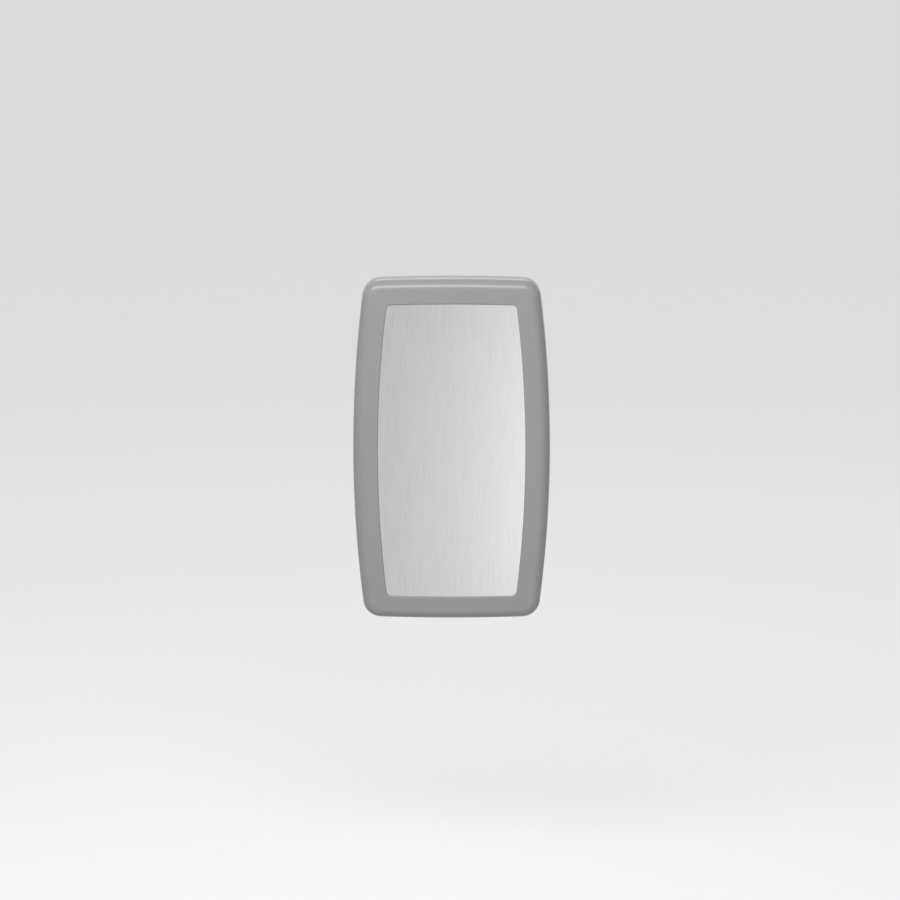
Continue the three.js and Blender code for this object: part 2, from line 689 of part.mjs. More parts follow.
// Rubber bumpers between the land and the bed
for (const [name, hand, z] of [
  ["bumper_top_left", -1, BUMPER_HEIGHT],
  ["bumper_top_right", 1, BUMPER_HEIGHT],
  ["bumper_bottom_left", -1, -BUMPER_HEIGHT],
  ["bumper_bottom_right", 1, -BUMPER_HEIGHT],
]) {
  const x = hand * (halfWidth(z) - LAND_WIDTH / 2);
  piece(name, roundAlongY(BUMPER_RADIUS, x, [BED_RIM + TOUCH, COVER_RIM - TOUCH], z, 16), blackRubber);
}

// Stops under the fixed leaf: an angle with a rubber buffer that meets the lower edge of the open bed
for (const [side, hand] of [
  ["left", -1],
  ["right", 1],
]) {
  const centre = hand * STOP_X;
  const across = [centre - STOP_WIDTH / 2, centre + STOP_WIDTH / 2];
  const bufferFront = HINGE_Y + HINGE_RISE + SWING;
  const bufferBack = bufferFront + STOP_BUFFER;
  const angleFront = bufferBack + TOUCH;
  const top = WEB_BOTTOM - TOUCH;
  const low = BOTTOM + STOP_GAUGE;
  const angle = polygon([
    [angleFront, low],
    [angleFront + STOP_GAUGE, low],
    [FIXED_LEAF_REAR, top - STOP_GAUGE],
    [FIXED_LEAF_REAR, top],
    [angleFront, top],
  ]);
  piece(`stop_bracket_${side}`, runAlongX(angle, across), zincSteel);
  piece(`stop_buffer_${side}`, block(across, [bufferFront, bufferBack], [low, top - SWING]), blackRubber);
}

// Liner bin: open at the top, with a dispensing slot and a notch for the lock
const BIN_BACK = FLOOR - TOUCH;
const BIN_FRONT = COVER_RIM + LID_GAUGE + TOUCH + 1.1;
const LID_Y = FLOOR - LID_HINGE_RADIUS - 2 * FIT;
const LID_Z = BIN_TOP + TOUCH + LID_HINGE_RADIUS;
const LID_UNDER = BIN_TOP + TOUCH;
const LIP_FRONT = BIN_FRONT - TOUCH - LID_GAUGE;
const LOCK_Z = BIN_TOP - LOCK_DROP;
const BIN_HALF = BIN_WIDTH / 2;

function lidBore() {
  return roundAlongX(LID_PIN_RADIUS + TOUCH, [-BIN_HALF - 1, BIN_HALF + 1], LID_Y, LID_Z, 12);
}

function linerBin() {
  const body = block([-BIN_HALF, BIN_HALF], [BIN_FRONT, BIN_BACK], [BIN_BOTTOM, BIN_TOP]);
  const inside = block(
    [-BIN_HALF + BIN_WALL, BIN_HALF - BIN_WALL],
    [BIN_FRONT + BIN_WALL, BIN_BACK - BIN_WALL],
    [BIN_BOTTOM + BIN_WALL, BIN_TOP + 1],
  );
  const slotZ = BIN_BOTTOM + SLOT_RISE + SLOT_HEIGHT / 2;
  const slot = runAlongY(
    roundedRectangle(SLOT_WIDTH, SLOT_HEIGHT, SLOT_HEIGHT / 2 - 1, 0, slotZ),
    [BIN_FRONT - 1, BIN_FRONT + BIN_WALL + 1],
  );
  const notchLow = LOCK_Z - CAM_LENGTH - 1.5;
  const notch = block(
    [-LOCK_NOTCH / 2, LOCK_NOTCH / 2],
    [BIN_FRONT - 1, BIN_FRONT + BIN_WALL + SWING],
    [notchLow, BIN_TOP + 1],
  );
  const ledgeLow = LOCK_Z + CAM_WIDTH / 2 + 1;
  const ledge = block(
    [LOCK_RADIUS + SWING, LOCK_NOTCH / 2 + 12],
    [BIN_FRONT + BIN_WALL - 1, BIN_FRONT + BIN_WALL + 6.3],
    [ledgeLow, ledgeLow + 3],
  );
  const ears = [-1, 1].flatMap((hand) => {
    const across = [hand * (BIN_HALF - LID_EAR), hand * BIN_HALF].sort((a, b) => a - b);
    const foot = block(across, [LID_Y - LID_HINGE_RADIUS, BIN_BACK], [BIN_TOP - 4, LID_Z]);
    return [foot, roundAlongX(LID_HINGE_RADIUS, across, LID_Y, LID_Z, 16)];
  });
  return cut(join(cut(body, inside, slot), ledge, ...ears), notch, lidBore());
}

piece("liner_bin", linerBin(), greyPlastic);
piece("lid_hinge_pin", roundAlongX(LID_PIN_RADIUS, [-BIN_HALF, BIN_HALF], LID_Y, LID_Z, 12), zincSteel);

// Liner lid with its lip, and the lock in the lip
function linerLid() {
  const barrelHalf = BIN_HALF - LID_EAR - 2 * SWING;
  const top = LID_UNDER + LID_GAUGE;
  const plate = block([-BIN_HALF, BIN_HALF], [LIP_FRONT, LID_Y - LID_HINGE_RADIUS - SWING], [LID_UNDER, top]);
  const rear = block([-barrelHalf, barrelHalf], [LIP_FRONT, LID_Y], [LID_UNDER, top]);
  const lip = block([-BIN_HALF, BIN_HALF], [LIP_FRONT, LIP_FRONT + LID_GAUGE], [BIN_TOP - LID_LIP, top]);
  const knuckle = roundAlongX(LID_HINGE_RADIUS, [-barrelHalf, barrelHalf], LID_Y, LID_Z, 16);
  const lockHole = roundAlongY(LOCK_RADIUS + TOUCH, 0, [LIP_FRONT - 1, LIP_FRONT + LID_GAUGE + 1], LOCK_Z);
  return cut(join(plate, rear, lip, knuckle), lidBore(), lockHole);
}

const BEZEL_FRONT = LIP_FRONT - TOUCH - BEZEL_THICKNESS;
const PLUG_BACK = BIN_FRONT + BIN_WALL + 2.7;

piece("liner_lid", linerLid(), greyPlastic);
piece(
  "lock_bezel",
  cut(
    roundAlongY(BEZEL_RADIUS, 0, [BEZEL_FRONT, LIP_FRONT - TOUCH], LOCK_Z, 24),
    roundAlongY(LOCK_RADIUS + TOUCH, 0, [BEZEL_FRONT - 1, LIP_FRONT], LOCK_Z),
  ),
  chrome,
);
piece("lock_plug", roundAlongY(LOCK_RADIUS, 0, [BEZEL_FRONT, PLUG_BACK], LOCK_Z), chrome);
piece(
  "lock_cam",
  block(
    [-CAM_WIDTH / 2, CAM_WIDTH / 2],
    [PLUG_BACK + TOUCH, PLUG_BACK + TOUCH + CAM_THICKNESS],
    [LOCK_Z - CAM_LENGTH, LOCK_Z + CAM_WIDTH / 2],
  ),
  zincSteel,
);

// Bag hooks: a bent strip on the floor of the recess
function bagHook(hand) {
  const back = FLOOR - TOUCH;
  const face = back - HOOK_GAUGE;
  const tipOut = COVER_RIM + HOOK_GAUGE;
  const tipIn = tipOut + HOOK_GAUGE;
  const inner = (face - tipIn) / 2;
  const centreY = (face + tipIn) / 2;
  const top = HOOK_Z + HOOK_HEIGHT / 2;
  const centreZ = HOOK_Z - HOOK_HEIGHT / 2 + inner + HOOK_GAUGE;
  const strip = new THREE.Shape();
  strip.moveTo(back, top);
  strip.lineTo(face, top);
  strip.lineTo(face, centreZ);
  strip.absarc(centreY, centreZ, inner, 0, -Math.PI, true);
  strip.lineTo(tipIn, centreZ + HOOK_TIP);
  strip.lineTo(tipOut, centreZ + HOOK_TIP);
  strip.lineTo(tipOut, centreZ);
  strip.absarc(centreY, centreZ, inner + HOOK_GAUGE, -Math.PI, 0, false);
  strip.closePath();
  const centre = hand * HOOK_X;
  return runAlongX(strip, [centre - HOOK_WIDTH / 2, centre + HOOK_WIDTH / 2]);
}

piece("bag_hook_left", bagHook(-1), greyPlastic);
piece("bag_hook_right", bagHook(1), greyPlastic);

// Gas spring, upright beside the recess edge: anchor, tube with its fitting and gland, rod with its end
const EYE = [STRUT_X - EYE_THICKNESS / 2, STRUT_X + EYE_THICKNESS / 2];
const STUD = [crankLug()[1] - 1, EYE[1] + 2];
const NECK = 6;
const TUBE_TOP = STRUT_TOP_Z - EYE_RADIUS - NECK - TOUCH;
const TUBE_BOTTOM = TUBE_TOP - TUBE_LENGTH;
const PISTON_Z = TUBE_BOTTOM + 3 * GLAND_LENGTH;
const BORE_RADIUS = TUBE_RADIUS - TUBE_WALL;

function eyeFitting(z, hand) {
  const eye = roundAlongX(EYE_RADIUS, EYE, STRUT_Y, z);
  const ends = [z, z + hand * (EYE_RADIUS + NECK)].sort((a, b) => a - b);
  const neck = roundAlongZ(EYE_RADIUS * 0.7, STRUT_X, STRUT_Y, ends, 16);
  const bore = roundAlongX(STUD_RADIUS + TOUCH, [EYE[0] - 1, EYE[1] + 1], STRUT_Y, z);
  return cut(join(eye, neck), bore);
}

function turned(profile, sides) {
  const points = profile.map(([radius, z]) => new THREE.Vector2(radius, z));
  return new THREE.LatheGeometry(points, sides).rotateX(Math.PI / 2).translate(STRUT_X, STRUT_Y, 0);
}

function springAnchor() {
  const plateBack = FLOOR - TOUCH;
  const plateFront = plateBack - LUG_THICKNESS / 2;
  const plate = block(
    [crankLug()[0] - LUG_THICKNESS, EYE[1] + LUG_THICKNESS],
    [plateFront, plateBack],
    [STRUT_TOP_Z - EYE_RADIUS, STRUT_TOP_Z + 3 * EYE_RADIUS],
  );
  const lugEnds = [STRUT_TOP_Z - EYE_RADIUS, STRUT_TOP_Z + EYE_RADIUS];
  const lug = block(crankLug(), [STRUT_Y, plateBack - 1], lugEnds);
  const boss = roundAlongX(EYE_RADIUS, crankLug(), STRUT_Y, STRUT_TOP_Z);
  const stud = roundAlongX(STUD_RADIUS, STUD, STRUT_Y, STRUT_TOP_Z);
  return join(plate, lug, boss, stud);
}

function springCrank() {
  const arm = block(crankLug(), [LEAF_REAR + TOUCH, STRUT_Y], [CRANK_Z - EYE_RADIUS, CRANK_Z + EYE_RADIUS]);
  const boss = roundAlongX(EYE_RADIUS, crankLug(), STRUT_Y, CRANK_Z);
  const stud = roundAlongX(STUD_RADIUS, STUD, STRUT_Y, CRANK_Z);
  return join(arm, boss, stud);
}

piece("spring_anchor", springAnchor(), zincSteel);
piece("spring_crank", springCrank(), zincSteel);
piece("cylinder_fitting", eyeFitting(STRUT_TOP_Z, -1), zincSteel);
piece(
  "cylinder_tube",
  turned(
    [
      [0, TUBE_TOP - 3 * TUBE_WALL],
      [BORE_RADIUS, TUBE_TOP - 3 * TUBE_WALL],
      [BORE_RADIUS, TUBE_BOTTOM],
      [TUBE_RADIUS, TUBE_BOTTOM],
      [TUBE_RADIUS, TUBE_TOP],
      [0, TUBE_TOP],
    ],
    24,
  ),
  blackSteel,
);
piece(
  "cylinder_gland",
  turned(
    [
      [ROD_RADIUS + ROD_PLAY, TUBE_BOTTOM],
      [BORE_RADIUS - TOUCH, TUBE_BOTTOM],
      [BORE_RADIUS - TOUCH, TUBE_BOTTOM + GLAND_LENGTH],
      [ROD_RADIUS + ROD_PLAY, TUBE_BOTTOM + GLAND_LENGTH],
      [ROD_RADIUS + ROD_PLAY, TUBE_BOTTOM],
    ],
    20,
  ),
  nylon,
);
piece("rod_fitting", eyeFitting(CRANK_Z, 1), zincSteel);
piece(
  "piston_rod",
  roundAlongZ(ROD_RADIUS, STRUT_X, STRUT_Y, [CRANK_Z + EYE_RADIUS + NECK + TOUCH, PISTON_Z - TOUCH], 16),
  chrome,
);
piece(
  "piston",
  roundAlongZ(BORE_RADIUS - 2, STRUT_X, STRUT_Y, [PISTON_Z, PISTON_Z + GLAND_LENGTH], 16),
  nylon,
);

// Strap halves, laid across the pit at mid height
const PIT_EDGE = WIDTH / 2 - PIT_INSET;
const PIT_FLOOR = BED_RIM - PIT_DEPTH;
const LAYER = STRAP_THICKNESS + TOUCH;

function strapLine(from, to, lift) {
  const bends = Array.from({ length: PIT_STEPS + 1 }, (_, i) => PIT_EDGE - (PIT_RUN * i) / PIT_STEPS);
  const stops = [from, ...bends.filter((x) => x < from && x > to), to].sort((a, b) => b - a);
  return stops.map((x) => {
    const share = THREE.MathUtils.clamp((PIT_EDGE - Math.abs(x)) / PIT_RUN, 0, 1);
    return [x, BED_RIM - pitDepth(share * PIT_STEPS) + STRAP_GAP + lift];
  });
}

function strapSolid(line) {
  const upper = line.map(([x, y]) => [x, y + STRAP_THICKNESS]).reverse();
  return runAlongZ(polygon([...line, ...upper]), [-STRAP_WIDTH / 2, STRAP_WIDTH / 2]);
}

function mirrored(line) {
  return line.map(([x, y]) => [-x, y]).reverse();
}

const STRAP_END = PIT_EDGE + TOUCH + ANCHOR_LENGTH;
const strapRun = strapLine(STRAP_END, STRAP_THICKNESS * 10, 0);
const strapTail = mirrored(strapLine(STRAP_TAIL, STRAP_THICKNESS, LAYER));

piece("strap_left", strapSolid(mirrored(strapLine(STRAP_END, STRAP_THICKNESS * 4, 0))), webbing);
piece("strap_right", strapSolid([...strapRun, ...strapTail]), webbing);

for (const [side, hand] of [
  ["left", -1],
  ["right", 1],
]) {
  const across = [hand * (PIT_EDGE + TOUCH), hand * STRAP_END].sort((a, b) => a - b);
  const under = BED_RIM + STRAP_GAP + STRAP_THICKNESS + TOUCH;
  piece(
    `strap_anchor_${side}`,
    block(across, [under, under + ANCHOR_THICKNESS], [-ANCHOR_WIDTH / 2, ANCHOR_WIDTH / 2]),
    buckleBlack,
  );
}

// Cam buckle over the middle of the strap
const BUCKLE_BASE = PIT_FLOOR + STRAP_GAP + 2 * LAYER;
const BUCKLE_PIN_X = -BUCKLE_LENGTH / 5;
const BUCKLE_PIN_Y = BUCKLE_BASE + BUCKLE_HEIGHT - BUCKLE_WALL;
const HUB_RADIUS = BUCKLE_PIN_RADIUS * 2;

function buckleBore() {
  const half = BUCKLE_WIDTH / 2 + 1;
  return roundAlongZ(BUCKLE_PIN_RADIUS + TOUCH, BUCKLE_PIN_X, BUCKLE_PIN_Y, [-half, half], 12);
}

function buckleBody() {
  const length = [-BUCKLE_LENGTH / 2, BUCKLE_LENGTH / 2];
  const half = BUCKLE_WIDTH / 2;
  const base = block(length, [BUCKLE_BASE, BUCKLE_BASE + BUCKLE_WALL], [-half, half]);
  const height = [BUCKLE_BASE, BUCKLE_BASE + BUCKLE_HEIGHT];
  const cheeks = [
    block(length, height, [half - 2 * BUCKLE_WALL, half]),
    block(length, height, [-half, -half + 2 * BUCKLE_WALL]),
  ];
  return cut(join(base, ...cheeks), buckleBore());
}

function buckleLever() {
  const half = BUCKLE_WIDTH / 2 - 2 * BUCKLE_WALL - SWING;
  const hub = roundAlongZ(HUB_RADIUS, BUCKLE_PIN_X, BUCKLE_PIN_Y, [-half, half], 16);
  const tongue = block(
    [BUCKLE_PIN_X, BUCKLE_LENGTH / 2 + 6],
    [BUCKLE_PIN_Y, BUCKLE_PIN_Y + LEVER_THICKNESS],
    [-half, half],
  );
  return cut(join(hub, tongue), buckleBore());
}

piece("buckle_body", buckleBody(), buckleBlack);
piece(
  "buckle_pin",
  roundAlongZ(BUCKLE_PIN_RADIUS, BUCKLE_PIN_X, BUCKLE_PIN_Y, [-BUCKLE_WIDTH / 2, BUCKLE_WIDTH / 2], 12),
  zincSteel,
);
piece("buckle_lever", buckleLever(), buckleBlack);

export default group;
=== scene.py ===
# %% [markdown]
# # A changing station that folds down from a wall
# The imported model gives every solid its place, so it is loaded first and never moved.
# Each piece that shows is then modelled again with a finer surface, in metres and in the
# same frame: the wall is the plane y = 0, the front looks along -Y and +Z is up.

# %% load the frame
from math import atan2, cos, pi, radians, sin, sqrt

import bmesh
import bpy
from mathutils import Matrix, Vector


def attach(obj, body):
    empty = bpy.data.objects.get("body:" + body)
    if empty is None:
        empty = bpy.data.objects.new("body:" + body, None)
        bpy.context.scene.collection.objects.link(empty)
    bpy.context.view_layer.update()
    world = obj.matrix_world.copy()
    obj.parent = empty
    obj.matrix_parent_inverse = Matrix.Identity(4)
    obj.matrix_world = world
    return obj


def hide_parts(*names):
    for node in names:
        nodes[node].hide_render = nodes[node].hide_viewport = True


scene = bpy.context.scene
for spare in ("Cube", "Light", "Camera"):
    if spare in bpy.data.objects:
        bpy.data.objects.remove(bpy.data.objects[spare])
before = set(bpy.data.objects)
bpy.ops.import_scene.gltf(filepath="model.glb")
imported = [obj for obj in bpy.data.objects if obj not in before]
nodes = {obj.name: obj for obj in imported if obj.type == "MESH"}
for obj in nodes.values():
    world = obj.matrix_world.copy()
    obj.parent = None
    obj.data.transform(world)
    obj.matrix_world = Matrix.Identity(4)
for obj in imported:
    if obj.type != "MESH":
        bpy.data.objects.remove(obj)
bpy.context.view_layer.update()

# %% [markdown]
# ## Sizes
# The real station is a moulded box about 920 mm high. These are the sizes that the solids
# were drawn with, so a piece made from them lands exactly where its solid is.

# %% sizes in metres
HEIGHT = 0.920
WIDTH = 0.516
SIDE_BOW = 0.032
END_BOW = 0.005
CORNER_RADIUS = 0.048
SMALLEST_CORNER = 0.014
TOP = HEIGHT / 2
BOTTOM = -HEIGHT / 2
FRONT = -0.102
BED_RIM = -0.051
COVER_RIM = -0.049
WALL = 0.003
HAIR = 0.00002
TINY = 1e-6
SIDE_RADIUS = (TOP**2 + SIDE_BOW**2) / (2 * SIDE_BOW)
END_HALF_WIDTH = WIDTH / 2 - SIDE_BOW
END_RADIUS = (END_HALF_WIDTH**2 + END_BOW**2) / (2 * END_BOW)
HINGE = Vector((0, -0.050, BOTTOM + 0.015))
print("side arc radius", round(SIDE_RADIUS, 3), "end arc radius", round(END_RADIUS, 3))

# %% [markdown]
# ## Helpers for finishes
# A finish could be one flat colour, but real plastic, steel and webbing vary a little all
# over. Each helper adds one small step to a node tree: a noise on Object coordinates, a
# change of range, a blend of two colours, or a bump.

# %% helpers for finishes
def finish(name, slot, colour, rough, metal=0.0):
    """A new material whose plain numbers sit on the shader itself."""
    material = bpy.data.materials.new(name)
    material["slot"] = slot
    material.use_nodes = True
    tree = material.node_tree
    shader = tree.nodes["Principled BSDF"]
    shader.inputs["Base Color"].default_value = (*colour, 1)
    shader.inputs["Roughness"].default_value = rough
    shader.inputs["Metallic"].default_value = metal
    return material, tree, shader


def grain(tree, scale, detail=3.0, stretch=(1, 1, 1), source="Object"):
    """Noise that is fixed to the piece. Stretch makes it run in one direction."""
    place = tree.nodes.new("ShaderNodeTexCoord")
    lay = tree.nodes.new("ShaderNodeMapping")
    lay.inputs["Scale"].default_value = stretch
    noise = tree.nodes.new("ShaderNodeTexNoise")
    noise.inputs["Scale"].default_value = scale
    noise.inputs["Detail"].default_value = detail
    tree.links.new(place.outputs[source], lay.inputs["Vector"])
    tree.links.new(lay.outputs["Vector"], noise.inputs["Vector"])
    return noise.outputs["Fac"]


def spread(tree, value, low, high, start=0.3, end=0.7):
    """Brings a noise into the range that a socket needs."""
    node = tree.nodes.new("ShaderNodeMapRange")
    node.inputs["From Min"].default_value = start
    node.inputs["From Max"].default_value = end
    node.inputs["To Min"].default_value = low
    node.inputs["To Max"].default_value = high
    tree.links.new(value, node.inputs["Value"])
    return node.outputs["Result"]


def tint(tree, value, dark, light, start=0.3, end=0.7):
    """Blends two colours by a noise."""
    ramp = tree.nodes.new("ShaderNodeValToRGB")
    ramp.color_ramp.elements[0].position = start
    ramp.color_ramp.elements[0].color = (*dark, 1)
    ramp.color_ramp.elements[1].position = end
    ramp.color_ramp.elements[1].color = (*light, 1)
    tree.links.new(value, ramp.inputs["Fac"])
    return ramp.outputs["Color"]


def combine(tree, one, two, operation="ADD"):
    node = tree.nodes.new("ShaderNodeMath")
    node.operation = operation
    tree.links.new(one, node.inputs[0])
    tree.links.new(two, node.inputs[1])
    return node.outputs["Value"]


def emboss(tree, shader, height, depth, strength=1.0):
    """Lets a height pattern tilt the surface by a depth in metres."""
    bump = tree.nodes.new("ShaderNodeBump")
    bump.inputs["Distance"].default_value = depth
    bump.inputs["Strength"].default_value = strength
    tree.links.new(height, bump.inputs["Height"])
    tree.links.new(bump.outputs["Normal"], shader.inputs["Normal"])


print("helpers ready")

# %% [markdown]
# ## Moulded grey plastic
# The frame, cover, tray, bin, lid and hooks are moulded from one grey plastic with a fine
# satin texture from the tool. A cloudy noise shifts the grey by a hair, a fine one makes
# the texture, and a slow one changes the shine a little where hands and cloths pass.

# %% moulded grey plastic
grey_plastic, tree, shader = finish("satin_moulding", "grey_plastic", (0.300, 0.300, 0.300), 0.30)
clouds = grain(tree, 5, 4)
texture = grain(tree, 1300, 2)
wiped = grain(tree, 11, 5)
shader.inputs["Specular IOR Level"].default_value = 0.5
greys = tint(tree, clouds, (0.295, 0.295, 0.296), (0.305, 0.305, 0.304))
shine = spread(tree, combine(tree, texture, wiped), 0.29, 0.31, 0.75, 1.25)
tree.links.new(greys, shader.inputs["Base Color"])
tree.links.new(shine, shader.inputs["Roughness"])
emboss(tree, shader, texture, 0.00006, 0.5)
print(grey_plastic.name, "nodes:", len(tree.nodes))

# %% [markdown]
# ## Brushed stainless steel
# The panel is sheet steel drawn under an abrasive belt, so its grain runs straight up and
# down. A noise that is squeezed across and stretched along gives those lines. They change
# the colour and the roughness slightly and cut a very shallow bump.

# %% brushed stainless steel
brushed_steel, tree, shader = finish("belt_brushed", "brushed_steel", (0.472, 0.473, 0.474), 0.31, 1.0)
hairlines = grain(tree, 60, 6, (22, 22, 0.25))
bands = grain(tree, 40, 3, (5, 5, 0.25))
both = combine(tree, hairlines, bands)
shader.inputs["Anisotropic"].default_value = 0.55
greys = tint(tree, both, (0.451, 0.453, 0.456), (0.492, 0.492, 0.490), 0.7, 1.3)
tree.links.new(greys, shader.inputs["Base Color"])
tree.links.new(spread(tree, hairlines, 0.27, 0.36), shader.inputs["Roughness"])
emboss(tree, shader, hairlines, 0.00003, 0.35)
around = tree.nodes.new("ShaderNodeTangent")
around.direction_type = "RADIAL"
around.axis = "Z"
tree.links.new(around.outputs["Tangent"], shader.inputs["Tangent"])
print(brushed_steel.name, "nodes:", len(tree.nodes))

# %% [markdown]
# ## Zinc, chrome and black paint
# Brackets, leaves, rails and screws are zinc plated: a cool grey whose crystals differ a
# little. The lock and the piston rod are chromed, so they are smoother and show fine wipe
# lines. The tube of the gas spring is painted black and its paint has a little orange peel.

# %% zinc, chrome and black paint
def crystals(tree, scale):
    """A random value for each flat cell of a pattern, as zinc shows when it sets."""
    place = tree.nodes.new("ShaderNodeTexCoord")
    cells = tree.nodes.new("ShaderNodeTexVoronoi")
    cells.inputs["Scale"].default_value = scale
    tree.links.new(place.outputs["Object"], cells.inputs["Vector"])
    return cells.outputs["Color"]


zinc_steel, tree, shader = finish("zinc_plate", "zinc_steel", (0.38, 0.39, 0.40), 0.42, 1.0)
spangle = crystals(tree, 85)
greys = tint(tree, spangle, (0.355, 0.365, 0.375), (0.415, 0.425, 0.430))
tree.links.new(greys, shader.inputs["Base Color"])
tree.links.new(spread(tree, spangle, 0.50, 0.38), shader.inputs["Roughness"])
emboss(tree, shader, grain(tree, 900, 2), 0.00003, 0.4)

chrome, tree, shader = finish("chrome_plate", "chrome", (0.66, 0.67, 0.68), 0.12, 1.0)
wipes = grain(tree, 300, 4, (1, 1, 6))
greys = tint(tree, wipes, (0.63, 0.64, 0.65), (0.69, 0.70, 0.71))
tree.links.new(greys, shader.inputs["Base Color"])
tree.links.new(spread(tree, wipes, 0.09, 0.2), shader.inputs["Roughness"])

black_steel, tree, shader = finish("tube_paint", "black_steel", (0.02, 0.02, 0.022), 0.3)
peel = grain(tree, 420, 2)
blacks = tint(tree, grain(tree, 30, 4), (0.017, 0.017, 0.019), (0.026, 0.026, 0.028))
tree.links.new(blacks, shader.inputs["Base Color"])
tree.links.new(spread(tree, peel, 0.26, 0.38), shader.inputs["Roughness"])
emboss(tree, shader, peel, 0.00008, 0.4)
print(zinc_steel.name, chrome.name, black_steel.name)

# %% [markdown]
# ## Rubber, black plastic, nylon and foam
# The bumpers are matt rubber with a dusty bloom, the buckle is black plastic with the same
# spark texture as the shell, the gland and piston are natural nylon, and the panel is held
# by a sheet of foam tape. One helper makes them all.

# %% rubber, black plastic, nylon and foam
def soft_finish(name, slot, dark, light, rough, scale, depth):
    """A matt finish with a cloudy colour and a fine pebbled surface."""
    material, tree, shader = finish(name, slot, light, rough)
    pebble = grain(tree, scale, 3)
    tree.links.new(tint(tree, grain(tree, 45, 4), dark, light), shader.inputs["Base Color"])
    tree.links.new(spread(tree, pebble, rough - 0.06, rough + 0.06), shader.inputs["Roughness"])
    emboss(tree, shader, pebble, depth, 0.5)
    return material


rubber = soft_finish(
    "matt_rubber", "rubber", (0.010, 0.010, 0.010), (0.018, 0.018, 0.018), 0.82, 700, 0.00008
)
black_plastic = soft_finish(
    "buckle_moulding", "black_plastic", (0.021, 0.021, 0.022), (0.030, 0.030, 0.031), 0.42, 1500, 0.00005
)
nylon = soft_finish(
    "natural_nylon", "nylon", (0.66, 0.64, 0.58), (0.74, 0.72, 0.66), 0.55, 900, 0.00003
)
foam = soft_finish(
    "foam_tape", "adhesive", (0.74, 0.72, 0.64), (0.80, 0.78, 0.70), 0.85, 500, 0.0001
)
print(rubber.name, black_plastic.name, nylon.name, foam.name)

# %% [markdown]
# ## Woven webbing
# The strap is a flat polyester belt in a twill weave. Its own UV map runs across and along
# the belt in metres, so two sets of fine bands on it, one crosswise and one slanting, give
# the yarns wherever the belt bends.

# %% woven webbing
def yarns(tree, direction, scale, turn):
    """Bands of yarn on the UV map, turned by an angle."""
    place = tree.nodes.new("ShaderNodeTexCoord")
    lay = tree.nodes.new("ShaderNodeMapping")
    lay.inputs["Rotation"].default_value = (0, 0, radians(turn))
    wave = tree.nodes.new("ShaderNodeTexWave")
    wave.bands_direction = direction
    wave.inputs["Scale"].default_value = scale
    wave.inputs["Distortion"].default_value = 0.6
    wave.inputs["Detail"].default_value = 1.0
    tree.links.new(place.outputs["UV"], lay.inputs["Vector"])
    tree.links.new(lay.outputs["Vector"], wave.inputs["Vector"])
    return wave.outputs["Fac"]


webbing, tree, shader = finish("twill_webbing", "webbing", (0.030, 0.034, 0.042), 0.85)
twill = combine(tree, yarns(tree, "X", 260, 0), yarns(tree, "Y", 190, 35))
shader.inputs["Sheen Weight"].default_value = 0.25
greys = tint(tree, twill, (0.020, 0.023, 0.029), (0.046, 0.051, 0.061), 0.4, 1.6)
tree.links.new(greys, shader.inputs["Base Color"])
tree.links.new(spread(tree, grain(tree, 400, 3), 0.78, 0.92), shader.inputs["Roughness"])
emboss(tree, shader, twill, 0.0003, 0.7)
thread = soft_finish(
    "sewing_thread", "webbing", (0.16, 0.165, 0.175), (0.22, 0.225, 0.235), 0.7, 1200, 0.00008
)
print(webbing.name, thread.name)

# %% [markdown]
# ## The bowed outline
# Seen from the front, frame, panel and cover share one outline: two long bowed sides, two
# nearly straight ends and four round corners. It could be typed as points. Here a single
# vertex is spun about the centre of each arc in turn, as a pair of compasses would draw it.

# %% the bowed outline
SIDE_STEPS = 40
CORNER_STEPS = 12
END_STEPS = 24


def corner_centre(side, side_reach, end, end_reach):
    """Centre of the circle that touches a side arc and an end arc from within."""
    across = end - side
    along = (side_reach**2 - end_reach**2 + across.length**2) / (2 * across.length)
    off = sqrt(side_reach**2 - along**2)
    foot = side + across.normalized() * along
    square = Vector((-across.y, across.x)).normalized() * off
    return max(foot + square, foot - square, key=lambda point: point.x)


def verts_in(made):
    """The vertices among what an operator made."""
    return [item for item in made if isinstance(item, bmesh.types.BMVert)]


def draw_arc(bm, pen, centre, axis, turn, steps):
    """Spins the last vertex of a line about an axis and gives back its new end."""
    made = bmesh.ops.spin(bm, geom=[pen], cent=centre, axis=axis, angle=turn, steps=steps)
    return verts_in(made["geom_last"])[0]


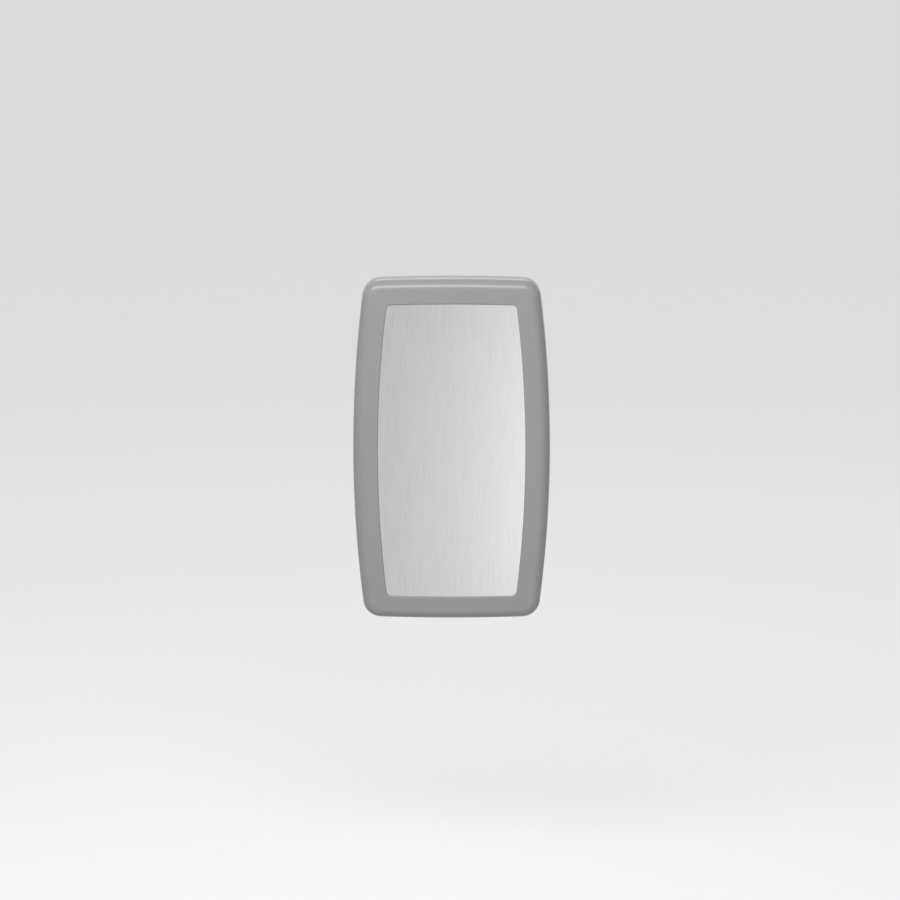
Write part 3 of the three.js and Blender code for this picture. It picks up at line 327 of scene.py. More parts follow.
def outline(bm, y, side=0.0, top=TOP, bottom=BOTTOM, corner=CORNER_RADIUS):
    """One closed loop of edges at depth y, brought in by side, top and bottom."""
    before = set(bm.edges)
    corner = max(corner, SMALLEST_CORNER)
    reach = SIDE_RADIUS - side
    flank = Vector((WIDTH / 2 - SIDE_RADIUS, 0))
    over = Vector((0, top - END_RADIUS))
    under = Vector((0, bottom + END_RADIUS))
    high = corner_centre(flank, reach - corner, over, END_RADIUS - corner)
    low = corner_centre(flank, reach - corner, under, END_RADIUS - corner)
    side_high = atan2(high.y, high.x - flank.x)
    side_low = atan2(low.y, low.x - flank.x)
    end_high = atan2(high.y - over.y, high.x)
    end_low = atan2(low.y - under.y, low.x)
    start = bm.verts.new((flank.x + reach * cos(side_low), y, reach * sin(side_low)))
    pen = start
    for x, z, turn, steps in (
        (flank.x, 0, side_high - side_low, SIDE_STEPS),
        (high.x, high.y, end_high - side_high, CORNER_STEPS),
        (0, over.y, pi - 2 * end_high, END_STEPS),
        (-high.x, high.y, end_high - side_high, CORNER_STEPS),
        (-flank.x, 0, side_high - side_low, SIDE_STEPS),
        (-low.x, low.y, side_low - end_low, CORNER_STEPS),
        (0, under.y, pi + 2 * end_low, END_STEPS),
        (low.x, low.y, side_low - end_low, CORNER_STEPS),
    ):
        pen = draw_arc(bm, pen, (x, y, z), (0, -1, 0), turn, steps)
    bmesh.ops.weld_verts(bm, targetmap={pen: start})
    return [edge for edge in bm.edges if edge not in before]


def inset_outline(bm, inset, y, drop=0.0):
    """The outline brought in evenly all round, and let down by a drop."""
    return outline(bm, y, inset, TOP - inset - drop, BOTTOM + inset - drop, CORNER_RADIUS - inset)


trial = bmesh.new()
print("edges in one outline:", len(outline(trial, FRONT)))
trial.free()

# %% [markdown]
# ## From loops to a finished piece
# A moulded wall is a skin between loops. Bridging each loop to the next makes the faces, a
# last face closes the end, and modifiers give the skin its thickness and its small edge
# rounds. Large flats stay flat because the normals are weighted by area. Two loops in one
# plane are drawn a hair apart in depth, so that the bridge knows which way round to turn.

# %% from loops to a finished piece
SHARP_ANGLE = 38


def skin(bm, loops):
    """Bridges each loop of edges to the one after it."""
    for one, two in zip(loops, loops[1:]):
        bmesh.ops.bridge_loops(bm, edges=one + two)


def close(bm, loop):
    """One flat face across a loop."""
    return bmesh.ops.contextual_create(bm, geom=loop)["faces"]


def fill(bm, edges, normal=(0, -1, 0)):
    """Fills the flat between an outer rim and the rims of the holes in it."""
    bmesh.ops.triangle_fill(bm, edges=edges, use_beauty=True, normal=normal)


def quarter(steps):
    """Shares of a quarter round: how far in and how far down at each step."""
    return [(1 - cos(pi / 2 * i / steps), 1 - sin(pi / 2 * i / steps)) for i in range(steps + 1)]


def place(bm, name, material, body, replaces=(), faces_to=None, thick=0.0, edge=0.0, sharp=SHARP_ANGLE):
    """Makes the object, lets it ride on its body and stand for its solids."""
    bmesh.ops.remove_doubles(bm, verts=bm.verts, dist=TINY)
    bmesh.ops.recalc_face_normals(bm, faces=bm.faces)
    if faces_to:
        lean = sum((face.normal * face.calc_area() for face in bm.faces), Vector())
        if lean.dot(Vector(faces_to)) < 0:
            bmesh.ops.reverse_faces(bm, faces=bm.faces)
    for face in bm.faces:
        face.smooth = True
    for line in bm.edges:
        line.smooth = line.calc_face_angle(0) < radians(sharp)
    mesh = bpy.data.meshes.new(name)
    bm.to_mesh(mesh)
    bm.free()
    piece = bpy.data.objects.new(name, mesh)
    scene.collection.objects.link(piece)
    mesh.materials.append(material)
    if thick:
        wall = piece.modifiers.new("wall", "SOLIDIFY")
        wall.thickness = thick
        wall.offset = -1
    if edge:
        soften(piece, edge)
    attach(piece, body)
    if replaces:
        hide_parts(*replaces)
    print(name, "faces:", len(mesh.polygons))
    return piece


def soften(piece, width, angle=SHARP_ANGLE, merge=0.0):
    """Small rounds on sharp edges, with flats that stay flat and points that meet merged."""
    bevel = piece.modifiers.new("edge", "BEVEL")
    bevel.width = width
    bevel.segments = 2
    bevel.limit_method = "ANGLE"
    bevel.angle_limit = radians(angle)
    bevel.harden_normals = True
    if merge:
        piece.modifiers.new("merged", "WELD").merge_threshold = merge
    piece.modifiers.new("flats", "WEIGHTED_NORMAL").keep_sharp = True


print("piece helpers ready")

# %% [markdown]
# ## Frame of the bed
# The frame is the front moulding: a wall that turns through a wide round into a flat band,
# then drops over a small lip into the recess for the steel. It could be a box with bevels,
# but the round follows the bowed outline best when each loop is drawn a little further in.

# %% frame of the bed
EDGE_ROUND = 0.026
FRAME_BAND = 0.0642
PANEL_DROP = 0.0014
LIP_WIDE = 0.0045
LIP_DEEP = 0.0022
RECESS_FLOOR = -0.0981
MOULD_EDGE = 0.0004

bm = bmesh.new()
loops = [inset_outline(bm, 0, BED_RIM)]
loops += [inset_outline(bm, EDGE_ROUND * x, FRONT + EDGE_ROUND * y) for x, y in quarter(18)]
loops += [
    inset_outline(bm, FRAME_BAND - LIP_WIDE * y, FRONT + HAIR + LIP_DEEP * x, PANEL_DROP)
    for x, y in quarter(6)
]
loops.append(inset_outline(bm, FRAME_BAND, RECESS_FLOOR, PANEL_DROP))
skin(bm, loops)
close(bm, loops[-1])
place(
    bm, "bed_frame", grey_plastic, "bed", ["bed_outer_shell"],
    faces_to=(0, -1, 0), thick=WALL, edge=MOULD_EDGE,
)

# %% [markdown]
# ## Steel panel
# The panel is a 1 mm sheet that lies in the recess with a hair of room all round. Its cut
# edge is broken, so one extra loop makes a tiny slope that catches the light.

# %% steel panel
PANEL_FRONT = -0.1005
PANEL_BACK = -0.0995
PANEL_INSET = FRAME_BAND + 0.0001
BROKEN_EDGE = 0.0002

bm = bmesh.new()
loops = [
    inset_outline(bm, PANEL_INSET + BROKEN_EDGE, PANEL_FRONT, PANEL_DROP),
    inset_outline(bm, PANEL_INSET, PANEL_FRONT + BROKEN_EDGE, PANEL_DROP),
    inset_outline(bm, PANEL_INSET, PANEL_BACK, PANEL_DROP),
]
skin(bm, loops)
close(bm, loops[0])
close(bm, loops[-1])
steel_panel = place(bm, "steel_panel", brushed_steel, "bed", ["front_panel"], sharp=20)

# %% [markdown]
# ## Rear cover
# The cover stays on the wall behind the bed: side walls, a land that faces the bed, and a
# drafted recess whose floor has six wells for the wall screws. Its skin is drawn loop by
# loop as the frame was. The floor is filled round the six circles, and the circles are then
# taken down to the plate. A window lets the hinge leaf through at the lower back. A low rib
# along the inner edge of the land keeps light and dust out of the parting gap.

# %% a window in a skin
def once(items):
    """Each item once, in the order in which it first comes."""
    return list(dict.fromkeys(items))


def window(bm, low, high):
    """Cuts a box out of a skin: slices the faces near it, then takes out those inside."""
    for axis in range(3):
        for limit in (low[axis], high[axis]):
            near = [face for face in bm.faces if touches(face, low, high)]
            parts = near + once(edge for face in near for edge in face.edges)
            parts += once(vert for face in near for vert in face.verts)
            square = Vector([float(i == axis) for i in range(3)])
            bmesh.ops.bisect_plane(bm, geom=parts, plane_co=square * limit, plane_no=square)
    inside = [
        face
        for face in bm.faces
        if all(low[i] < face.calc_center_median()[i] < high[i] for i in range(3))
    ]
    bmesh.ops.delete(bm, geom=inside, context="FACES")
    return len(inside)


def touches(face, low, high):
    """Whether a face reaches into a box."""
    spots = [vert.co for vert in face.verts]
    return all(
        min(spot[i] for spot in spots) < high[i] and max(spot[i] for spot in spots) > low[i]
        for i in range(3)
    )


def ring(bm, at, radius, segments=32):
    """A circle of edges in x and z."""
    turn = Matrix.Translation(at) @ Matrix.Rotation(pi / 2, 4, "X")
    made = bmesh.ops.create_circle(bm, segments=segments, radius=radius, matrix=turn)
    return once(edge for vert in made["verts"] for edge in vert.link_edges)


print("window and ring ready")

# %% rear cover
COVER_TOP = TOP - 0.020
COVER_BOTTOM = HINGE.z + 0.0073
COVER_ROUND = 0.005
LAND = 0.024
DRAFT = 0.004
FLOOR = -0.017
COVER_LIP = 0.0015
COVER_FILLET = 0.003
RIB = 0.005
RIB_HIGH = 0.0018
SILL = WALL + 0.0006
WELL_RADIUS = 0.012
WELL_LIP = 0.001
WELL_DRAFT = 0.0004
WELL_END = -0.0033
SCREW_WELLS = [(x, z) for z in (0.310, 0.0, -0.310) for x in (-0.150, 0.150)]
LEAF_LOW = (-0.1755, -0.0061, -0.450)
LEAF_HIGH = (0.1755, 0.001, COVER_BOTTOM + 0.006)


def cover_loop(bm, side, y, rise=0.0):
    """The outline of the cover, brought in at the sides and the top and raised below."""
    return outline(bm, y, side, COVER_TOP - side, COVER_BOTTOM + rise, CORNER_RADIUS - side)


bm = bmesh.new()
loops = [cover_loop(bm, 0, 0)]
loops += [cover_loop(bm, COVER_ROUND * x, COVER_RIM + COVER_ROUND * y) for x, y in quarter(6)]
loops.append(cover_loop(bm, LAND - RIB, COVER_RIM - HAIR))
loops.append(cover_loop(bm, LAND - RIB, COVER_RIM - RIB_HIGH))
rib_top = COVER_RIM - RIB_HIGH + HAIR
loops += [
    cover_loop(bm, LAND - COVER_LIP * y, rib_top + COVER_LIP * x, SILL - COVER_LIP * y)
    for x, y in quarter(4)
]
loops += [
    cover_loop(bm, LAND + DRAFT + COVER_FILLET * x, FLOOR - COVER_FILLET * y, SILL + COVER_FILLET * x)
    for x, y in quarter(4)
]
skin(bm, loops)
mouths = []
for x, z in SCREW_WELLS:
    well = [
        ring(bm, (x, FLOOR, z), WELL_RADIUS + WELL_LIP),
        ring(bm, (x, FLOOR + WELL_LIP, z), WELL_RADIUS),
        ring(bm, (x, WELL_END, z), WELL_RADIUS - WELL_DRAFT),
    ]
    skin(bm, well)
    mouths += well[0]
fill(bm, loops[-1] + mouths)
print("faces cut for the leaf:", window(bm, LEAF_LOW, LEAF_HIGH))
place(
    bm, "cover", grey_plastic, "wall_unit", ["rear_cover"],
    faces_to=(0, -1, 0), thick=WALL, edge=MOULD_EDGE,
)

# %% [markdown]
# ## Tray
# When the bed is down, the tray is what a child lies on: a flat flange around a shallow dish
# with no corner to catch. Twenty-four rings, each a little further in and lower by a cosine,
# give the dish the same soft start and end as the moulding. A slot lets the crank through.

# %% tray
TRAY_EDGE = 0.0034
PIT_INSET = 0.056
PIT_RUN = 0.110
PIT_DEPTH = 0.027
PIT_FOOT = 0.130
PIT_CORNER = 0.090
PIT_CORNER_CLOSING = 0.6
PIT_EDGE = WIDTH / 2 - PIT_INSET
TRAY_FOOT = HINGE.z + 0.009
TRAY_ROUND = 0.0008
TRAY_STEPS = 24
CRANK_LOW = (0.1652, -0.056, -0.450)
CRANK_HIGH = (0.1712, -0.050, -0.4129)


def pit_depth(share):
    """Depth of the dish at a share of the way in from its edge."""
    return PIT_DEPTH * (1 - cos(pi * min(max(share, 0), 1))) / 2


def tray_loop(bm, inset, y):
    """The edge of the flange, brought in all round."""
    side = TRAY_EDGE + inset
    return outline(bm, y, side, TOP - side, TRAY_FOOT + inset, CORNER_RADIUS - side)


def pit_loop(bm, share):
    """One ring of the dish at a share of the way in from its edge."""
    run = PIT_RUN * share
    top, bottom = TOP - PIT_INSET - run, BOTTOM + PIT_FOOT + run
    corner = PIT_CORNER - PIT_CORNER_CLOSING * run
    return outline(bm, BED_RIM - HAIR - pit_depth(share), PIT_INSET + run, top, bottom, corner)


bm = bmesh.new()
loops = [tray_loop(bm, TRAY_ROUND * x, BED_RIM - TRAY_ROUND * y) for x, y in quarter(3)]
loops += [pit_loop(bm, step / TRAY_STEPS) for step in range(TRAY_STEPS + 1)]
skin(bm, loops)
close(bm, loops[-1])
print("faces cut for the crank:", window(bm, CRANK_LOW, CRANK_HIGH))
place(
    bm, "tray", grey_plastic, "bed", ["bed_tray"],
    faces_to=(0, 1, 0), thick=WALL, edge=MOULD_EDGE,
)

# %% [markdown]
# ## Screw heads
# Six pan heads hold the tray. A domed head is a stack of circles bridged together. Its top
# is filled round a cross, and the edges of the cross are then pushed down, which leaves the
# recess for the driver.

# %% screw heads
CROSS = [(1, 3), (1, 1), (3, 1), (3, -1), (1, -1), (1, -3)]
CROSS += [(-u, -v) for u, v in CROSS]
DOME = [(1.0, 0.0), (1.0, 0.35), (0.92, 0.66), (0.74, 0.9), (0.5, 1.0)]
CROSS_ARM = 0.125
CROSS_DEPTH = 0.6
SEAT = 0.0001


def push(bm, edges, vec):
    """Extrudes edges along a vector and gives back the edges at the far end."""
    made = bmesh.ops.extrude_edge_only(bm, edges=edges)["geom"]
    moved = verts_in(made)
    bmesh.ops.translate(bm, verts=moved, vec=vec)
    sides = [item for item in made if isinstance(item, bmesh.types.BMEdge)]
    return [edge for edge in sides if all(vert in moved for vert in edge.verts)]


def screw_head(bm, at, radius, height, way):
    """A domed head on a point, with its top along way times Y."""
    at = Vector(at)
    rings = [
        ring(bm, at + Vector((0, way * height * rise, 0)), radius * share, 20)
        for share, rise in DOME
    ]
    skin(bm, rings)
    close(bm, rings[0])
    arm = radius * CROSS_ARM
    corners = [bm.verts.new(at + Vector((u * arm, way * height, v * arm))) for u, v in CROSS]
    cross = [bm.edges.new((one, two)) for one, two in zip(corners, corners[1:] + corners[:1])]
    fill(bm, rings[-1] + cross, (0, way, 0))
    close(bm, push(bm, cross, (0, -way * height * CROSS_DEPTH, 0)))


TRAY_SCREW_ROWS = (0.385, 0.300, -0.300)
TRAY_SCREW_SIDE = 0.194
PAN_RADIUS = 0.0045
PAN_HIGH = 0.0017

bm = bmesh.new()
for z in TRAY_SCREW_ROWS:
    for x in (-TRAY_SCREW_SIDE, TRAY_SCREW_SIDE):
        screw_head(bm, (x, BED_RIM + SEAT, z), PAN_RADIUS, PAN_HIGH, 1)
place(bm, "tray_screws", zinc_steel, "bed", [f"tray_screw_{i}" for i in range(1, 7)])

# %% [markdown]
# ## Liner bin
# The bin holds folded paper liners and gives them out through a slot near its foot. It is a
# box with rounded edges and no top. Its front is filled again round the slot, with a notch
# in the upper edge for the cam of the lock, and the wall gets its thickness last.

# %% liner bin
BIN_HALF = 0.118
BIN_FRONT = -0.0453
BIN_BACK = -0.0173
BIN_TOP = 0.300
BIN_BOTTOM = 0.180
BIN_FOLD = 0.004
BIN_WALL = 0.0025
BIN_EDGE = 0.0007
LOCK_Z = 0.283
NOTCH_HALF = 0.010
NOTCH_FOOT = LOCK_Z - 0.0145
SLOT_WIDE = 0.170
SLOT_HIGH = 0.030
SLOT_ROUND = 0.014
SLOT_Z = BIN_BOTTOM + 0.031


def round_off(bm, geom, radius, steps, affect="VERTICES"):
    """Rounds corners, or edges, in a few steps."""
    bmesh.ops.bevel(
        bm, geom=geom, offset=radius, segments=steps, profile=0.5, affect=affect, material=-1
    )


def rounded_rim(bm, wide, high, radius, at, steps=6):
    """The rim of a rectangle in x and z with round corners, for a plate or a hole."""
    before = set(bm.faces)
    upright = Matrix.Translation(at) @ Matrix.Rotation(pi / 2, 4, "X")
    size = Matrix.Diagonal((wide, high, 1, 1))
    made = bmesh.ops.create_grid(bm, x_segments=1, y_segments=1, size=0.5, matrix=upright @ size)
    round_off(bm, made["verts"], radius, steps)
    face = next(face for face in bm.faces if face not in before)
    rim = list(face.edges)
    bmesh.ops.delete(bm, geom=[face], context="FACES_ONLY")
    return rim


def block(bm, low, high):
    """A box between two corners."""
    size = Matrix.Diagonal([b - a for a, b in zip(low, high)] + [1])
    middle = Matrix.Translation([(a + b) / 2 for a, b in zip(low, high)])
    return bmesh.ops.create_cube(bm, size=1, matrix=middle @ size)["verts"]


bm = bmesh.new()
block(bm, (-BIN_HALF, BIN_FRONT, BIN_BOTTOM), (BIN_HALF, BIN_BACK, BIN_TOP))
lid_side = max(bm.faces, key=lambda face: face.calc_center_median().z)
bmesh.ops.delete(bm, geom=[lid_side], context="FACES_ONLY")
round_off(bm, [edge for edge in bm.edges if not edge.is_boundary], BIN_FOLD, 4, "EDGES")
front = min(bm.faces, key=lambda face: face.calc_center_median().y)
rim = list(front.edges)
bmesh.ops.delete(bm, geom=[front], context="FACES_ONLY")
upper = max(rim, key=lambda edge: edge.verts[0].co.z + edge.verts[1].co.z)
left, right = sorted(upper.verts, key=lambda vert: vert.co.x)
notch = [(-NOTCH_HALF, BIN_TOP), (-NOTCH_HALF, NOTCH_FOOT)]
notch += [(NOTCH_HALF, NOTCH_FOOT), (NOTCH_HALF, BIN_TOP)]
chain = [left] + [bm.verts.new((x, BIN_FRONT, z)) for x, z in notch] + [right]
rim.remove(upper)
bm.edges.remove(upper)
rim += [bm.edges.new(pair) for pair in zip(chain, chain[1:])]
fill(bm, rim + rounded_rim(bm, SLOT_WIDE, SLOT_HIGH, SLOT_ROUND, (0, BIN_FRONT, SLOT_Z)))
place(
    bm, "bin", grey_plastic, "wall_unit", ["liner_bin"],
    faces_to=(0, 0, -1), thick=BIN_WALL, edge=BIN_EDGE,
)

# %% [markdown]
# ## Ears of the bin and the lid
# Two ears on the bin carry the pin of the lid. Each is a short block with a round top, so a
# vertex is spun half a turn over the pin and the outline is pushed along X. The lid is a
# sheet with a soft fold at its front edge and a rolled knuckle between the ears.

# %% ears of the bin
LID_Y = -0.0210
LID_Z = 0.3035
LID_ROUND = 0.0032
LID_EDGE = 0.0005
EAR_LONG = 0.013
EAR_FOOT = BIN_TOP - 0.004
ALONG_X = Vector((1, 0, 0))

bm = bmesh.new()
for x in (-BIN_HALF, BIN_HALF - EAR_LONG):
    before = set(bm.edges)
    foot_front = bm.verts.new((x, LID_Y - LID_ROUND, EAR_FOOT))
    foot_back = bm.verts.new((x, LID_Y + LID_ROUND, EAR_FOOT))
    start = bm.verts.new((x, LID_Y - LID_ROUND, LID_Z))
    end = draw_arc(bm, start, (x, LID_Y, LID_Z), ALONG_X, -pi, 12)
    for pair in ((foot_back, foot_front), (foot_front, start), (end, foot_back)):
        bm.edges.new(pair)
    near = [edge for edge in bm.edges if edge not in before]
    far = push(bm, near, (EAR_LONG, 0, 0))
    close(bm, near)
    close(bm, far)
place(bm, "bin_ears", grey_plastic, "wall_unit", edge=LID_EDGE)

# %% liner lid
LIP_FRONT = -0.0479
LID_TOP = 0.3026
LID_FOLD = 0.003
LID_FOOT = 0.270
LID_WALL = 0.0023
LID_CORNER = 0.006
KNUCKLE_HALF = 0.104
KNUCKLE_TONGUE = 0.0037

bm = bmesh.new()
back = bm.verts.new((-BIN_HALF, LID_Y - KNUCKLE_TONGUE, LID_TOP))
fold = bm.verts.new((-BIN_HALF, LIP_FRONT + LID_FOLD, LID_TOP))
bm.edges.new((back, fold))
fold_centre = (-BIN_HALF, LIP_FRONT + LID_FOLD, LID_TOP - LID_FOLD)
pen = draw_arc(bm, fold, fold_centre, ALONG_X, pi / 2, 6)
bm.edges.new((pen, bm.verts.new((-BIN_HALF, LIP_FRONT, LID_FOOT))))
line = list(bm.edges)
for length in (BIN_HALF - KNUCKLE_HALF, 2 * KNUCKLE_HALF, BIN_HALF - KNUCKLE_HALF):
    line = push(bm, line, (length, 0, 0))
rear = [edge for edge in bm.edges if all(abs(vert.co.y - back.co.y) < TINY for vert in edge.verts)]
rear = [edge for edge in rear if all(abs(vert.co.x) < BIN_HALF - TINY for vert in edge.verts)]
push(bm, rear, (0, KNUCKLE_TONGUE, 0))
feet = [vert for vert in bm.verts if vert.co.z < LID_FOOT + TINY and abs(vert.co.x) > BIN_HALF - TINY]
round_off(bm, feet, LID_CORNER, 5)
place(
    bm, "lid", grey_plastic, "liner_lid", ["liner_lid"],
    faces_to=(0, -1, 1), thick=LID_WALL, edge=LID_EDGE,
)

# %% [markdown]
# ## Turned pieces
# The knuckle of the lid, the lock, and the tube and rod of the gas spring are all turned.
# A profile of a few vertices is joined up and spun a full turn about its own axis.

# %% turned pieces
def turned(bm, profile, at, axis, steps=48):
    """Spins a profile of (radius, distance along the axis) about an axis through a point."""
    out = Vector((0, 0, 1)) if axis.y else Vector((0, 1, 0))
    points = [bm.verts.new(Vector(at) + out * radius + axis * far) for radius, far in profile]
    parts = points + [bm.edges.new(pair) for pair in zip(points, points[1:])]
    bmesh.ops.spin(bm, geom=parts, cent=at, axis=axis, angle=2 * pi, steps=steps, use_merge=True)


def bar_profile(radius, length, inward, along):
    """A round bar whose ends slope inward."""
    tip = radius - inward
    return [(0, 0), (tip, 0), (radius, along), (radius, length - along), (tip, length), (0, length)]


ALONG_Y = Vector((0, 1, 0))
ALONG_Z = Vector((0, 0, 1))
COLLAR_FRONT = -0.0490
COLLAR_DEEP = 0.0008
COLLAR_BORE = 0.0068
COLLAR_RADIUS = 0.0100

bm = bmesh.new()
knuckle = bar_profile(LID_ROUND, 2 * KNUCKLE_HALF, LID_EDGE, LID_EDGE)
turned(bm, knuckle, (-KNUCKLE_HALF, LID_Y, LID_Z), ALONG_X, 32)
place(bm, "lid_knuckle", grey_plastic, "liner_lid")

bm = bmesh.new()
collar = [(COLLAR_BORE, COLLAR_DEEP), (COLLAR_BORE, 0.0001), (0.0075, 0), (0.0085, 0)]
collar += [(0.0097, 0.0003), (COLLAR_RADIUS, COLLAR_DEEP), (COLLAR_BORE, COLLAR_DEEP)]
turned(bm, collar, (0, COLLAR_FRONT, LOCK_Z), ALONG_Y)
place(bm, "lock_collar", chrome, "liner_lid", ["lock_bezel"])

# %% [markdown]
# ## Plug of the lock
# The plug turns in its collar when a key goes in. Its face is a disc that is filled round a
# narrow key slot, and the slot is pushed in.

# %% plug of the lock
PLUG_FRONT = -0.0489
PLUG_BACK = -0.0401
PLUG_RADIUS = 0.0065
PLUG_SLOPE = 0.0005
KEY_WIDE = 0.0016
KEY_HIGH = 0.0075
KEY_ROUND = 0.0005
KEY_DEEP = 0.005

bm = bmesh.new()
rings = [
    ring(bm, (0, PLUG_FRONT, LOCK_Z), PLUG_RADIUS - PLUG_SLOPE, 40),
    ring(bm, (0, PLUG_FRONT + PLUG_SLOPE, LOCK_Z), PLUG_RADIUS, 40),
    ring(bm, (0, PLUG_BACK, LOCK_Z), PLUG_RADIUS, 40),
]
skin(bm, rings)
close(bm, rings[-1])
key = rounded_rim(bm, KEY_WIDE, KEY_HIGH, KEY_ROUND, (0, PLUG_FRONT, LOCK_Z), 3)
fill(bm, rings[0] + key)
close(bm, push(bm, key, (0, KEY_DEEP, 0)))
place(bm, "lock_face", chrome, "lock", ["lock_plug"])

# %% [markdown]
# ## Bag hooks
# Each hook is a strip of the same grey plastic, bent into a J, with two screws. The line of
# the J is drawn with one half turn, pushed to its width and thickened. A bevel of its corner
# vertices rounds both ends.

# %% bag hooks
HOOK_X = 0.150
HOOK_HALF = 0.008
HOOK_FACE = -0.0213
HOOK_BEND = 0.00985
HOOK_TOP = 0.159
HOOK_LOW = 0.11485
HOOK_TIP = HOOK_LOW + 0.024
HOOK_WALL = 0.004
HOOK_CORNER = 0.005
HOOK_EDGE = 0.001
HOOK_SCREWS = (0.151, 0.132)
HOOK_SCREW_RADIUS = 0.0036
HOOK_SCREW_HIGH = 0.0016

for side, x in (("left", -HOOK_X), ("right", HOOK_X)):
    bm = bmesh.new()
    near = x - HOOK_HALF
    top = bm.verts.new((near, HOOK_FACE, HOOK_TOP))
    bend = bm.verts.new((near, HOOK_FACE, HOOK_LOW))
    bm.edges.new((top, bend))
    pen = draw_arc(bm, bend, (near, HOOK_FACE - HOOK_BEND, HOOK_LOW), ALONG_X, -pi, 20)
    tip = bm.verts.new((near, pen.co.y, HOOK_TIP))
    bm.edges.new((pen, tip))
    push(bm, list(bm.edges), (2 * HOOK_HALF, 0, 0))
    ends = [vert for vert in bm.verts if min(abs(vert.co.z - z) for z in (HOOK_TOP, HOOK_TIP)) < TINY]
    round_off(bm, ends, HOOK_CORNER, 6)
    place(
        bm, f"hook_{side}", grey_plastic, "wall_unit", [f"bag_hook_{side}"],
        thick=HOOK_WALL, edge=HOOK_EDGE,
    )
    bm = bmesh.new()
    for z in HOOK_SCREWS:
        screw_head(bm, (x, HOOK_FACE + SEAT, z), HOOK_SCREW_RADIUS, HOOK_SCREW_HIGH, -1)
    place(bm, f"hook_screws_{side}", zinc_steel, "wall_unit")

# %% [markdown]
# ## Gas spring
# A gas spring stands in the recess and slows the bed on its way down. Its tube is painted
# steel with a groove rolled in near the lower end, which holds the gland. The chromed rod
# runs in it. Both are turned about the same upright line.

# %% gas spring
SPRING_X = 0.176
SPRING_Y = -0.030
TUBE_LOW = -0.3088
TUBE_LONG = 0.1800
TUBE_BORE = 0.0080
TUBE_BORE_LONG = 0.176
TUBE_RADIUS = 0.0095
GROOVE_RADIUS = 0.0090
ROD_LOW = -0.4096
ROD_LONG = 0.1305
ROD_RADIUS = 0.0040

bm = bmesh.new()
bore = [(0, TUBE_BORE_LONG), (TUBE_BORE, TUBE_BORE_LONG), (TUBE_BORE, 0)]
mouth = [(0.0087, 0), (TUBE_RADIUS, 0.0010)]
groove = [(TUBE_RADIUS, 0.0085), (GROOVE_RADIUS, 0.0095)]
groove += [(GROOVE_RADIUS, 0.0110), (TUBE_RADIUS, 0.0120)]
crown = [(TUBE_RADIUS, 0.1775), (0.0090, 0.1792), (0.0078, TUBE_LONG), (0, TUBE_LONG)]
turned(bm, bore + mouth + groove + crown, (SPRING_X, SPRING_Y, TUBE_LOW), ALONG_Z)
place(bm, "spring_tube", black_steel, "spring_cylinder", ["cylinder_tube"])

bm = bmesh.new()
shaft = bar_profile(ROD_RADIUS, ROD_LONG, 0.0004, 0.0006)
turned(bm, shaft, (SPRING_X, SPRING_Y, ROD_LOW), ALONG_Z)
place(bm, "spring_shaft", chrome, "spring_rod", ["piston_rod"])

# %% [markdown]
# ## Strap anchors
# Each end of the strap is held down by a small black bridge with two screws. Its section is
# drawn once as a shallow arch and pushed along X.

# %% strap anchors
STRAP_END = 0.2263
ANCHOR_LONG = 0.024
ANCHOR_EDGE = 0.0008
ANCHOR_SCREW_Z = 0.0221
ANCHOR_SCREW_RADIUS = 0.0025
ANCHOR_SCREW_HIGH = 0.0012
ARCH_TOP = -0.0466
ARCH_UNDER = -0.0488
ARCH_HALF = 0.0250
ARCH_LEG = 0.0053
ARCH_INSIDE = ARCH_HALF - ARCH_LEG
ARCH = [(BED_RIM, -ARCH_HALF), (ARCH_TOP, -ARCH_HALF), (ARCH_TOP, ARCH_HALF), (BED_RIM, ARCH_HALF)]
ARCH += [(BED_RIM, ARCH_INSIDE), (ARCH_UNDER, ARCH_INSIDE)]
ARCH += [(ARCH_UNDER, -ARCH_INSIDE), (BED_RIM, -ARCH_INSIDE)]


def section(bm, points):
    """A closed line of edges through a few points."""
    corners = [bm.verts.new(point) for point in points]
    return [bm.edges.new(pair) for pair in zip(corners, corners[1:] + corners[:1])]


for side, x in (("left", -STRAP_END), ("right", STRAP_END - ANCHOR_LONG)):
    bm = bmesh.new()
    near = section(bm, [(x, y, z) for y, z in ARCH])
    far = push(bm, near, (ANCHOR_LONG, 0, 0))
    close(bm, near)
    close(bm, far)
    place(bm, f"anchor_{side}", black_plastic, "bed", [f"strap_anchor_{side}"], edge=ANCHOR_EDGE)
    bm = bmesh.new()
    for z in (-ANCHOR_SCREW_Z, ANCHOR_SCREW_Z):
        spot = (x + ANCHOR_LONG / 2, ARCH_TOP - SEAT, z)
        screw_head(bm, spot, ANCHOR_SCREW_RADIUS, ANCHOR_SCREW_HIGH, 1)
    place(bm, f"anchor_screws_{side}", zinc_steel, "bed")

# %% [markdown]
# ## Strap
# A belt of 38 mm webbing crosses the tray. The left half goes round the bar of the buckle
# and is sewn back on itself. The right half is threaded over the base of the buckle, under
# its cam, and its free end lies on the left half. Each half is one line along its middle,
# pushed to the belt's width. Its UV map is measured along that line, so the weave does not
# stretch in a bend.

# %% strap
BELT = 0.038
BELT_THICK = 0.0015
BELT_STRIPS = 4
ON_TRAY = 0.00105
ON_BELT = 0.00265
ON_BOTH = 0.00425
OVER_BASE = 0.00805
OVER_LOOP = 0.00965
BAR_X = -0.0255
BAR_HIGH = 0.00570
BAR_TURN = 0.00235
BAR_STEPS = 10
LEFT_RISE = -0.046
RIGHT_RISE = 0.072
SMOOTH_BELT = 80


def tray_y(x):
    """Depth of the tray's surface along the strap."""
    return BED_RIM - pit_depth((PIT_EDGE - abs(x)) / PIT_RUN)


